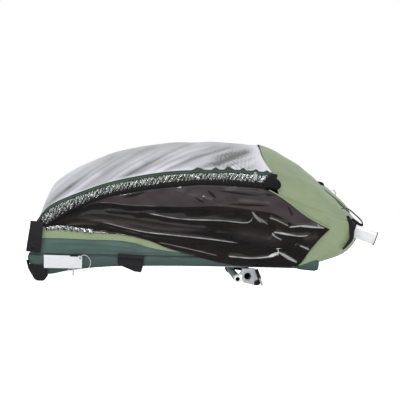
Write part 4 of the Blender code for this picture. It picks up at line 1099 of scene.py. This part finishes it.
def make_hem():
    """Along the cover's lower edge: green piping, gathered clear film, and black elastic."""
    for side, sign in SIDES:
        seed = 60 if sign < 0 else 70
        line = resample(ZIP_LINE, np.linspace(0, 1, 260))
        lumps = np.clip((line[:, 0] + 0.06) / 0.05, 0, 1) * np.clip(
            crumple(line[:, 0], 0.014, 0.034, seed + 7) - 0.35, 0, 1
        )
        for name, drop, tall, out, look in (
            ("tape", 0.0050, 0.0092, 0.3640, GREEN_TAPE), ("bead", 0.0012, 0.0032, 0.3660, PINE_PIPING),
            ("lower_bead", 0.0092, 0.0026, 0.3660, PINE_PIPING),
        ):
            lift = lumps * (0.011 if name == "bead" else 0.006)
            route = np.stack([line[:, 0], sign * (out + 0.3 * lift), line[:, 1] - drop + lift], axis=1)
            heights = tall + 0.9 * lift * (name == "bead")
            sections = np.stack([oval(h, 0.0042, 10, 2.4)[:, ::-1] for h in heights])
            piping = sweep(f"cover_piping_{name}_{side}", route, sections, look)
            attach(piping, "upper_frame")

        x = np.linspace(-0.484, 0.206, 780)[:, None]
        v = np.linspace(0, 1, 20)[None, :]
        low = hem_z(np.clip(x, -0.473, 0.180)) + 0.003
        high = zip_z(x) - 0.0085
        z = low + (high - low) * v
        xs = np.broadcast_to(x, z.shape)
        leaning = xs - 0.55 * (z - low) + 0.002 * ripple(xs, z, 0.03, seed)
        pleat = crumple(leaning, 0.0035, 0.0085, seed + 1)
        cross = crumple(xs - 0.9 * (z - low) + 0.003 * ripple(xs, z, 0.04, seed + 2), 0.006, 0.017, seed + 3)
        full = np.sin(math.pi * np.clip(0.12 + 0.80 * v, 0, 1))
        relief = full * (0.0012 + 0.0050 * pleat + 0.0030 * cross * np.clip((xs + 0.15) / 0.2, 0.3, 1))
        ahead = np.clip((xs + 0.20) / 0.12, 0, 1)
        middle = np.clip((v - 0.40) / 0.12, 0, 1)
        # The shade attribute darkens the film in the pleats' valleys, as painted shade, and towards the bottom; the
        # crease attribute places the painted white glints, mostly in the middle
        shade = np.clip(1 - 1.6 * pleat, 0, 1) * 0.5 + 0.8 * np.clip((0.5 - v) / 0.25, 0, 1)
        crease = middle * (1.0 - 0.25 * ahead) + 0.40 * pleat * (v < 0.5)
        grid = np.stack([xs, sign * (0.3638 + relief), z], axis=2)
        film = cloth(
            f"gathered_film_{side}", grid, CLEAR, 0.0005, flip=sign > 0, shade=np.clip(shade, 0, 1),
            crease=np.clip(crease, 0, 1)
        )
        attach(film, "upper_frame")

        line = resample(HEM_LINE, np.linspace(0, 1, 220))
        tall = np.interp(
            line[:, 0], [-0.473, -0.303, -0.150, 0.000, 0.180], [0.008, 0.010, 0.013, 0.016, 0.018]
        )
        pucker = crumple(line[:, 0], 0.006, 0.012, seed + 5)
        centre = line[:, 1] + tall / 2
        route = np.stack([line[:, 0], sign * (0.3674 + 0.0008 * pucker), centre], axis=1)
        # The band's end is turned up and sewn into a flat fan
        tail = np.array(
            [(0.186, 0.3005), (0.198, 0.3068), (0.209, 0.3105), (0.218, 0.3090), (0.2242, 0.3150)]
        )
        tail = resample(np.concatenate([[route[-1][[0, 2]]], tail]), np.linspace(0, 1, 30))[1:]
        route = np.concatenate(
            [route, np.stack([tail[:, 0], np.full(len(tail), sign * 0.3695), tail[:, 1]], axis=1)]
        )
        fan = np.interp(
            tail[:, 0], [0.180, 0.186, 0.198, 0.209, 0.218, 0.2242],
            [0.018, 0.024, 0.038, 0.048, 0.046, 0.014]
        )
        heights = np.concatenate([tall, fan])
        puff = np.concatenate([0.0046 + 0.0012 * pucker, np.full(len(tail), 0.0085)])
        sections = np.stack([oval(h, w, 16, 2.8) for h, w in zip(heights, puff)])
        elastic = sweep(f"elastic_hem_{side}", route, sections[:, :, ::-1], ELASTIC, up=(0.0, 1.0, 0.0))
        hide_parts(f"cover_hem_{side}")
        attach(elastic, "upper_frame")


# Tub -----------------------------------------------------------------------------------------
def rounded_loop(front, rear, half, corner, steps=10):
    """Points round a rounded rectangle seen from above, with the outward direction at each."""
    points, outward = [], []
    for cx, cy, start in (
        (rear - corner, half - corner, 0.0), (front + corner, half - corner, 0.5),
        (front + corner, corner - half, 1.0), (rear - corner, corner - half, 1.5),
    ):
        for i in range(steps + 1):
            turn = (start + 0.5 * i / steps) * math.pi
            direction = np.array([math.cos(turn), math.sin(turn)])
            points.append(np.array([cx, cy]) + corner * direction)
            outward.append(direction)
    dense_points, dense_out = [], []
    for k in range(len(points)):
        a, b = points[k], points[(k + 1) % len(points)]
        count = max(1, int(np.linalg.norm(b - a) / 0.006))
        for i in range(count):
            t = i / count
            dense_points.append(a + (b - a) * t)
            direction = outward[k] * (1 - t) + outward[(k + 1) % len(points)] * t
            dense_out.append(direction / np.linalg.norm(direction))
    return np.array(dense_points), np.array(dense_out)


def make_tub():
    """Dark fabric tub: sleeves puffed round the base tubes, a piped seam above, a slack floor."""
    points, outward = rounded_loop(TUB_FRONT, TUB_REAR, TUB_HALF, 0.008)
    foot = tub_bottom_z(points[:, 0])
    around = np.concatenate([[0.0], np.cumsum(np.linalg.norm(np.diff(points, axis=0), axis=1))])
    slack = 0.0010 * ripple(around, around * 0.0, 0.07, 81)
    rows = [
        # how far out, how far up between the foot and the seam
        (-0.060, 0.10), (-0.030, 0.03), (-0.012, 0.0), (-0.005, 0.015), (-0.0015, 0.07), (0.0004, 0.16),
        (0.0014, 0.28), (0.0020, 0.42), (0.0022, 0.56), (0.0019, 0.70), (0.0012, 0.80), (0.0002, 0.875),
        (-0.0010, 0.915), (-0.0012, 0.935), (0.0000, 0.955), (0.0002, 0.985), (-0.0014, 1.0),
    ]
    seam_z = TUB_TOP
    columns = []
    for out, up in rows:
        crease = 0.0011 * ripple(
            around, np.full_like(around, up * 0.05), 0.045, 82
        ) * math.sin(math.pi * min(up, 1))
        spot = points + outward * (out + (slack + crease) * (0 < up < 0.9))[:, None]
        z = foot + (seam_z - foot) * up
        columns.append(np.stack([spot[:, 0], spot[:, 1], z], axis=1))
    grid = np.stack(columns, axis=0)
    puff = fold(
        grid[..., 0], grid[..., 2], ((-0.490, 0.066), (-0.440, 0.052), (-0.390, 0.047)), 0.010, 0.0020, 0.006
    )
    puff += fold(
        grid[..., 0], grid[..., 2], ((-0.300, 0.060), (-0.240, 0.055), (-0.200, 0.058)), 0.008, 0.0012, 0.006
    )
    puff -= fold(
        grid[..., 0], grid[..., 2], ((-0.150, 0.062), (-0.060, 0.060), (0.030, 0.066)), 0.006, 0.0010
    )
    grid[..., 1] += np.sign(grid[..., 1]) * puff * (np.abs(grid[..., 1]) > 0.34)
    # The whole wall is darkened by painted shade, through the shade attribute at 0.42
    wall = add_piece(
        "tub_wall_fabric", grid.reshape(-1, 3), grid_faces(
            grid.shape[0], grid.shape[1], closed=True, flip=True
        ),
        PINE, flat_map(grid), np.full(grid.shape[:2], 0.42),
    )
    harden(wall, 0.0011)
    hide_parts("floor_tub")
    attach(wall, "base")

    # Inside, the wall comes back over the sleeve and runs into the floor, which sags a little
    u, v = np.linspace(0, 1, 90)[:, None], np.linspace(0, 1, 80)[None, :]
    xs, ys = TUB_FRONT + 0.003 + u * (TUB_REAR - TUB_FRONT - 0.006), (2 * v - 1) * (TUB_HALF - 0.003)
    xs, ys = np.broadcast_arrays(xs, ys)
    edge = np.minimum.reduce([xs - TUB_FRONT, TUB_REAR - xs, TUB_HALF - np.abs(ys)])
    ease = np.clip((edge - 0.026) / 0.010, 0, 1)
    z = TUB_TOP - 0.0012 - (TUB_TOP - 0.0565) * ease * ease * (3 - 2 * ease)
    z = z + ease * 0.0007 * ripple(xs, ys, 0.12, 83)
    floor = cloth("tub_floor_fabric", np.stack([xs, ys, z], axis=2), PINE, 0.0012)
    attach(floor, "base")
    under_z = tub_bottom_z(xs) + 0.003 + 0.002 * np.clip(edge / 0.1, 0, 1)
    clear = np.exp(-((xs - 0.106) / 0.03) ** 2) * 0.002
    under = cloth("tub_under_fabric", np.stack([xs, ys, under_z + clear], axis=2), PINE, 0.0010, flip=True)
    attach(under, "base")

    # Seam piping above the sleeves, with a stitched line under it
    rail, out = rounded_loop(TUB_FRONT, TUB_REAR, TUB_HALF, 0.008)
    route = np.concatenate([rail + out * 0.0004, np.full((len(rail), 1), TUB_TOP - 0.0012)], axis=1)
    bead = sweep(
        "tub_seam_piping", route, oval(0.0024, 0.0024, 8, 2.0), PINE_PIPING, closed=True, up=(0, 0, 1)
    )
    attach(bead, "base")
    for side, sign in SIDES:
        xs = np.linspace(-0.500, 0.335, 160)
        level = TUB_TOP - 0.0062 + 0 * xs
        stitches = seam(
            f"tub_stitches_{side}", np.stack(
                [xs, np.full_like(xs, sign * 0.3612), level], axis=1
            ), THREAD_DARK,
            up=(0.0, sign, 0.0),
        )
        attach(stitches, "base")


def make_front_panel():
    """The slack dark fabric between the tub's front edge and the cover's front edge."""
    across = np.linspace(-1, 1, 150)
    top = arch(ZIP_LINE, COVER_CROWN, np.array([0.0]), across, 2.3)[0]
    foot = np.stack(
        [np.full_like(across, -0.5205), across * 0.358, np.full_like(across, TUB_TOP - 0.002)], axis=1
    )
    v = np.linspace(0, 1, 30)[:, None, None]
    grid = foot[None] + (top - foot)[None] * v
    y, z = grid[..., 1], grid[..., 2]
    bulge = np.sin(math.pi * v[..., 0]) * (
        0.003 + 0.002 * ripple(y, z, 0.08, 91) + 0.0018 * crumple(y + 0.4 * z, 0.02, 0.06, 92)
    )
    grid = grid.copy()
    grid[..., 0] -= bulge
    grid[..., 0] += 0.004 * np.abs(across)[None, :] ** 12
    panel = cloth("front_panel_fabric", grid, PINE, 0.0011, flip=True)
    follow_fold(panel)
    binding = resample(top, np.linspace(0, 1, 120))
    edge = sweep(
        "cover_front_binding", binding, oval(0.0045, 0.0045, 10, 2.0), PINE_PIPING, up=(1.0, 0.0, 0.2)
    )
    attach(edge, "upper_frame")


# Straps --------------------------------------------------------------------------------------
def flat_strap(name, route, width, look, thickness=0.0022, up=(0.0, 1.0, 0.0), widths=None):
    route = np.array(route, float)
    line = resample(route, np.linspace(0, 1, 60))
    broad = np.full(60, width) if widths is None else np.interp(
        np.linspace(0, 1, 60), np.linspace(0, 1, len(widths)), widths
    )
    sections = np.stack([oval(thickness, w, 18, 5.0) for w in broad])
    return sweep(name, line, sections, look, up=up)


def make_straps():
    for side, sign in SIDES:
        y = sign * 0.3722
        route = (
            (-0.4965, sign * 0.3690, 0.1780), (-0.4980, y, 0.160), (-0.5005, sign * 0.3735, 0.138),
            (-0.5032, sign * 0.3722, 0.115), (-0.5055, sign * 0.3705, 0.092), (-0.5060, sign * 0.3695, 0.086),
        )
        strap = flat_strap(
            f"front_strap_web_{side}", route, 0.037, WEBBING, 0.0026,
            widths=(0.040, 0.040, 0.041, 0.043, 0.0445)
        )
        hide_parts(f"front_strap_{side}")
        follow_fold(strap)
        turn = (
            (-0.5165, sign * 0.3722, 0.1080), (-0.5050, sign * 0.3738, 0.1035),
            (-0.4905, sign * 0.3726, 0.0990)
        )
        turned = flat_strap(f"front_strap_fold_{side}", turn, 0.010, WEBBING, 0.0030)
        follow_fold(turned)

    x = np.linspace(-0.2535, -0.1765, 60)[:, None]
    v = np.linspace(0, 1, 40)[None, :]
    high = np.interp(x, [-0.254, -0.176], [0.0862, 0.0818])
    low = np.interp(x, [-0.2535, -0.2480, -0.202, -0.183, -0.1765], [0.0560, 0.0510, 0.0330, 0.0310, 0.0500])
    z = high - (high - low) * v
    xs = np.broadcast_to(x, z.shape)
    relief = 0.0006 + fold(
        xs, z, ((-0.256, 0.0750), (-0.215, 0.0735), (-0.174, 0.0715)), 0.005, 0.0032, 0.003, 0.02
    )
    relief += fold(xs, z, ((-0.250, 0.050), (-0.215, 0.050), (-0.178, 0.046)), 0.006, 0.0018, 0.006, 0.05)
    relief += 0.0005 * ripple(xs, z, 0.03, 95)
    grid = np.stack([xs, -(0.3646 + relief), z], axis=2)
    strap = cloth("drawbar_strap_web", grid, WEBBING, 0.0018, flip=True)
    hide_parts("drawbar_strap")
    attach(strap, "base")
    clip_route = ((-0.3955, -0.3702, 0.0772), (-0.3840, -0.3706, 0.0775), (-0.3715, -0.3702, 0.0770))
    clip = flat_strap("hang_tag_clip", clip_route, 0.0056, PLASTIC, 0.0016)
    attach(clip, "base")
    for row, level in (("upper", 0.0795), ("lower", 0.0560)):
        route = [(px, -0.3662, level - 0.045 * (px + 0.254)) for px in np.linspace(-0.249, -0.182, 30)]
        stitches = seam(f"drawbar_strap_stitches_{row}", route, THREAD_DARK, up=(0.0, -1.0, 0.0))
        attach(stitches, "base")

    handle = (
        (0.4260, -0.2980, 0.2335), (0.4325, -0.3005, 0.2360), (0.4415, -0.3030, 0.2350), (0.4530, -0.3040, 0.2280),
        (0.4650, -0.3040, 0.2180), (0.4790, -0.3030, 0.2060), (0.4880, -0.3020, 0.1950), (0.4905, -0.3010, 0.1870),
        (0.4860, -0.3000, 0.1825), (0.4770, -0.2990, 0.1835), (0.4640, -0.2980, 0.1890), (0.4500, -0.2960, 0.1955),
    )
    line = resample(handle, np.linspace(0, 0.74, 100))
    loop = sweep("carry_handle_cord", line, oval(0.0046, 0.0046, 12, 2.0), CORD, up=(0.0, 1.0, 0.0))
    grip = (
        (0.4908, -0.3010, 0.1885), (0.4880, -0.3005, 0.1852), (0.4800, -0.3000, 0.1880), (0.4720, -0.3000, 0.1935),
        (0.4650, -0.3000, 0.1985), (0.4570, -0.2995, 0.2030),
    )
    thick = 0.0092 - 0.0040 * np.abs(np.linspace(-1, 1, 50)) ** 8
    grip = sweep(
        "carry_handle_grip", resample(grip, np.linspace(0, 1, 50)), np.stack(
            [oval(t, t, 14, 2.0) for t in thick]
        ),
        BLACK_BINDING, up=(0.0, 1.0, 0.0),
    )
    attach(grip, "upper_frame")
    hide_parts("carry_handle")
    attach(loop, "upper_frame")


def make_rear_flap():
    """A flap of sage fabric folded over the back of the roof, held by a black tab at each edge."""
    shares = np.linspace(0.66, 0.985, 46)
    across = np.linspace(-0.62, 0.62, 110)
    grid = arch(ROOF_SIDE, ROOF_CROWN, shares, across, 3.0)
    u, v = np.linspace(0, 1, 46)[:, None], np.linspace(-1, 1, 110)[None, :]
    height = 0.0075 * (1 - np.abs(2 * u - 1) ** 6) * (1 - np.abs(v) ** 8) + 0.0012
    height = height + 0.0012 * ripple(grid[..., 0], grid[..., 1], 0.07, 101)
    # Flat around the D-ring, so that the ring swings clear of the fabric
    near_ring = np.exp(-(((grid[..., 0] - 0.431) / 0.036) ** 2 + (grid[..., 1] / 0.042) ** 2) ** 2)
    height = height + (0.0012 - height) * near_ring
    grid = grid + normals_of(grid) * height[..., None]
    flap = cloth("rear_flap_fabric", grid, SAGE, 0.0012)
    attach(flap, "upper_frame")
    for side, column in (("left", 1), ("right", -2)):
        edge = grid[:, column] + np.array([0.0, 0.0, 0.0006])
        bead = sweep(f"rear_flap_piping_{side}", edge, oval(0.0026, 0.0026, 8, 2.0), PINE_PIPING)
        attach(bead, "upper_frame")
    for name, share, length in (("upper", 0.675, 0.110), ("lower", 0.955, 0.095)):
        middle = resample(ROOF_CROWN, np.array([share - 0.045, share, share + 0.04]))
        ahead = middle[2] - middle[0]
        ahead /= np.linalg.norm(ahead)
        outward = np.array([-ahead[1], ahead[0]])
        outward = outward if outward[1] > 0 else -outward
        ends = [middle[0] + outward * 0.003, middle[1] + outward * 0.0125, middle[2] + outward * 0.006]
        route = [(p[0], 0.0, p[1]) for p in ends]
        tab = flat_strap(f"rear_flap_tab_{name}", route, length, BLACK_BINDING, 0.0075, up=(0.3, 0.0, 1.0))
        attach(tab, "upper_frame")


def face_outward(piece):
    """Turns all faces of a closed piece outward."""
    cage = bmesh.new()
    cage.from_mesh(piece.data)
    bmesh.ops.recalc_face_normals(cage, faces=cage.faces)
    cage.to_mesh(piece.data)
    cage.free()


def receiver_ring(name, sign, reach, steps, tall, wide, power):
    """A closed plastic ring round a push-bar receiver, from pairs of place along it and growth."""
    ahead = (RECEIVER_END - RECEIVER_START) / np.linalg.norm(RECEIVER_END - RECEIVER_START)
    rows = []
    for along, grow in steps:
        centre = RECEIVER_START + ahead * (reach + along)
        outline = oval(tall + 2 * grow, wide + 2 * grow, 28, power)
        rows.append(
            [(centre[0] - ahead[1] * a, sign * RECEIVER_Y + b, centre[1] + ahead[0] * a) for a, b in outline]
        )
    grid = np.array(rows)
    faces = grid_faces(len(steps), 28, closed=True)
    piece = add_piece(name, grid.reshape(-1, 3), faces, PLASTIC, flat_map(grid))
    face_outward(piece)
    return piece


def make_rear_slots():
    """Black bindings, collars and mouth guards of the push-bar receivers."""
    slot_line = (
        (0.4361, 0.2125), (0.4461, 0.1911), (0.4495, 0.168), (0.4488, 0.145), (0.4360, 0.125), (0.4244, 0.1119),
    )
    collar_steps = (
        (-0.006, 0.0), (0.004, 0.0045), (0.012, 0.0040), (0.016, 0.0010), (0.014, 0.0006), (0.0, 0.0006)
    )
    guard_steps = (
        (-0.0016, 0.0002), (-0.0016, 0.0009), (0.0008, 0.0009), (0.0012, 0.0), (0.0004, -0.0020), (-0.0016, -0.0020),
    )
    reach = float(np.linalg.norm(RECEIVER_END - RECEIVER_START))
    for side, sign in SIDES:
        line = resample(slot_line, np.linspace(0, 1, 60))
        broad = np.interp(np.linspace(0, 1, 60), [0, 0.15, 0.5, 0.75, 1], [0.006, 0.011, 0.012, 0.008, 0.004])
        route = np.stack([line[:, 0] - 0.0015, np.full(60, sign * 0.3590), line[:, 1]], axis=1)
        sections = np.stack([oval(0.0095, 1.25 * w, 12, 2.6) for w in broad])
        binding = sweep(f"receiver_slot_binding_{side}", route, sections, BLACK_BINDING)
        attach(binding, "upper_frame")
        collar = receiver_ring(f"receiver_collar_{side}", sign, 0.0, collar_steps, 0.0412, 0.0252, 3.2)
        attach(collar, "upper_frame")
        guard = receiver_ring(f"receiver_guard_{side}", sign, reach, guard_steps, 0.0400, 0.0240, 4.0)
        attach(guard, "upper_frame")


# Seat ----------------------------------------------------------------------------------------
def puffed(name, low, high, look, channels, cap):
    """A padded form blown up by a cloth simulation, then pressed in along its sewn channels."""
    low, high = np.array(low), np.array(high)
    inset = np.array([0.004, 0.004, 0.007])
    cage = bmesh.new()
    size, centre = high - low - 2 * inset, (high + low) / 2
    bmesh.ops.create_cube(cage, size=1.0, matrix=Matrix.Translation(centre) @ Matrix.Diagonal((*size, 1.0)))
    mesh = bpy.data.meshes.new(name)
    cage.to_mesh(mesh)
    cage.free()
    pad = bpy.data.objects.new(name, mesh)
    bpy.context.scene.collection.objects.link(pad)
    rounding = pad.modifiers.new("Rounding", "BEVEL")
    rounding.width, rounding.segments = 0.010, 3
    voxels = pad.modifiers.new("Voxels", "REMESH")
    voxels.mode, voxels.voxel_size = "VOXEL", 0.0075
    apply_modifiers(pad)
    rest = np.array([v.co for v in pad.data.vertices])
    simulation = pad.modifiers.new("Fill", "CLOTH")
    settings = simulation.settings
    settings.quality = 4
    settings.mass = 0.15
    settings.use_pressure = True
    settings.uniform_pressure_force = 4.0
    settings.effector_weights.gravity = 0.0
    simulation.point_cache.frame_start, simulation.point_cache.frame_end = 1, 20
    for step in range(1, 21):
        bpy.context.scene.frame_set(step)
    apply_modifiers(pad)
    bpy.context.scene.frame_set(1)
    places = np.array([v.co for v in pad.data.vertices])
    if len(places) == len(rest):
        move = places - rest
        length = np.linalg.norm(move, axis=1, keepdims=True)
        places = rest + move * np.minimum(1.0, cap / np.maximum(length, 1e-9))
    places = np.clip(places, low, high)
    share = (places[:, 2] - centre[2]) / (high[2] - low[2]) * 2
    for axis, where, depth, width in channels:
        pressed = depth * np.exp(-((places[:, axis] - where) / width) ** 2)
        places[:, 2] -= np.clip(share, 0, 1) * pressed
    pad.data.vertices.foreach_set("co", places.astype(np.float32).ravel())
    pad.data.update()
    smooth = pad.modifiers.new("Smooth", "SUBSURF")
    smooth.levels = smooth.render_levels = 1
    apply_modifiers(pad)
    pad.data.materials.clear()
    pad.data.materials.append(look)
    pad.data.shade_smooth()
    return pad


def make_seat():
    low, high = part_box("seat_cushion")
    middle = (low.x + high.x) / 2
    cushion = puffed(
        "seat_cushion_pad", low, high, SEAT,
        (
            (1, 0.0, 0.012, 0.012), (0, middle, 0.007, 0.010), (0, middle - 0.10, 0.007, 0.010),
            (0, middle + 0.10, 0.007, 0.010)
        ),
        0.010,
    )
    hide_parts("seat_cushion")
    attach(cushion, "base")

    foot, top = np.array((0.052, 0.104)), np.array((0.400, 0.152))
    lying = top - foot
    normal = np.array([-lying[1], lying[0]]) / np.linalg.norm(lying)
    turn = math.atan2(lying[1], lying[0])
    length = float(np.linalg.norm(lying))
    back = puffed(
        "seat_back_pad", (0.0, -0.262, -0.006), (length, 0.262, 0.006), SEAT,
        ((1, 0.0, 0.004, 0.010), (0, length * 0.3, 0.002, 0.008), (0, length * 0.6, 0.002, 0.008)), 0.004,
    )
    back.data.transform(Matrix.Translation((foot[0], 0.0, foot[1])) @ Matrix.Rotation(-turn, 4, "Y"))
    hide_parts("seat_back")
    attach(back, "base")

    for side, sign in SIDES:
        for number, offset in ((1, -0.055), (2, 0.055)):
            route = []
            for share in np.linspace(0.05, 0.86, 9):
                spot = foot + lying * share + normal * (0.0084 + 0.0006 * math.sin(share * 14))
                route.append((spot[0], sign * 0.130 + offset, spot[1]))
            strap = flat_strap(
                f"shoulder_strap_{side}_{number}", route, 0.025, WEBBING, 0.0022, up=(0.0, 0.0, 1.0)
            )
            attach(strap, "base")
        spot = foot + lying * 0.085 + normal * 0.0112
        route = [
            (
                spot[0], sign * 0.130 + dy, spot[1] + 0.0006 * math.cos(dy * 60)
            ) for dy in np.linspace(-0.075, 0.075, 9)
        ]
        lap = flat_strap(f"lap_strap_{side}", route, 0.028, WEBBING, 0.0022, up=(0.0, 0.0, 1.0))
        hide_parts(f"harness_webbing_{side}")
        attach(lap, "base")


# Small hardware ------------------------------------------------------------------------------
def turned(name, profile, centre, direction, look, count=28, flats=0):
    """A solid of revolution: profile pairs of distance along the direction and radius."""
    direction = Vector(direction).normalized()
    turn = Vector((0.0, 0.0, 1.0)).rotation_difference(direction).to_matrix()
    rows = []
    for along, radius in profile:
        ring = []
        for k in range(count):
            angle = math.tau * k / count
            reach = radius
            if flats:
                slice_of = math.tau / flats
                reach = radius * math.cos(slice_of / 2) / math.cos((angle % slice_of) - slice_of / 2)
            ring.append(
                tuple(
                    Vector(centre) + turn @ Vector((reach * math.cos(angle), reach * math.sin(angle), along))
                )
            )
        rows.append(ring)
    grid = np.array(rows)
    faces = grid_faces(len(rows), count, closed=True)
    faces.append(tuple(range(count)))
    faces.append(tuple(range((len(rows) - 1) * count, len(rows) * count))[::-1])
    piece = add_piece(name, grid.reshape(-1, 3), faces, look)
    cage = bmesh.new()
    cage.from_mesh(piece.data)
    bmesh.ops.recalc_face_normals(cage, faces=cage.faces)
    cage.to_mesh(piece.data)
    cage.free()
    piece.data.shade_auto_smooth(angle=math.radians(35)) if hasattr(piece.data, "shade_auto_smooth") else None
    return piece


def make_hardware():
    """Rivets, bush caps and bracket screws, which have no CAD node."""
    for side, sign in SIDES:
        rivet = turned(
            f"receiver_rivet_{side}", (
                (-0.0005, 0.0042), (0.0006, 0.0042), (0.0014, 0.0036), (0.0019, 0.0024), (0.0021, 0.0008)
            ),
            (0.4590, sign * 0.3372, 0.1665), (0.0, sign, 0.0), CAST, 24,
        )
        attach(rivet, "upper_frame")
        cap = turned(
            f"axle_bush_cap_{side}", ((0.0, 0.0101), (0.0012, 0.0101), (0.0018, 0.0070), (0.0018, 0.0030)),
            (0.1350, sign * 0.3490, 0.0272), (0.0, sign, 0.0), PLASTIC, 32,
        )
        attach(cap, "base")
        # Screws that hold the wheel bracket's plate, above and below the axle bush
        for row, (px, pz) in (("front", (0.1255, 0.0435)), ("rear", (0.1540, 0.0085))):
            head = turned(
                f"bracket_screw_{row}_{side}",
                ((-0.0003, 0.0032), (0.0007, 0.0032), (0.0013, 0.0028), (0.0013, 0.0016), (0.0006, 0.0015)),
                (px, sign * 0.3941, pz), (0.0, sign, 0.0), STEEL, 24, 0,
            )
            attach(head, "base")


# Materials of the CAD pieces that stay in sight ----------------------------------------------
KEPT = (
    (ALUMINIUM, (
        "base_rail", "front_cross_tube", "rear_cross_tube", "axle_tube", "side_arm", "push_bar_receiver",
        "roof_bow", "upper_cross_tube", "lower_strut", "upper_strut",
    )),
    (CAST, ("wheel_bracket", "arm_pivot_bracket", "strut_bracket")),
    (STEEL, ("arm_pivot_bolt", "axle_bush", "brake_pin", "d_ring", "zip_pull")),
    (PLASTIC, ("corner_bumper", "brake_housing", "brake_pedal", "brake_cable", "harness_buckle")),
    (RED, ("buckle_button",)),
    (CARD, ("hang_tag",)),
    (NYLON, ("tag_loop",)),
)


def dress_cad():
    for look, names in KEPT:
        for name in names:
            for node in (name, f"{name}_left", f"{name}_right"):
                if node in bpy.data.objects:
                    piece = bpy.data.objects[node]
                    piece.data.materials.clear()
                    piece.data.materials.append(look)


make_camera()
make_studio()
make_mesh_cover()
make_roof()
make_windows()
make_side_walls()
make_hem()
make_front_panel()
make_tub()
make_straps()
make_rear_flap()
make_rear_slots()
make_seat()
make_hardware()
dress_cad()
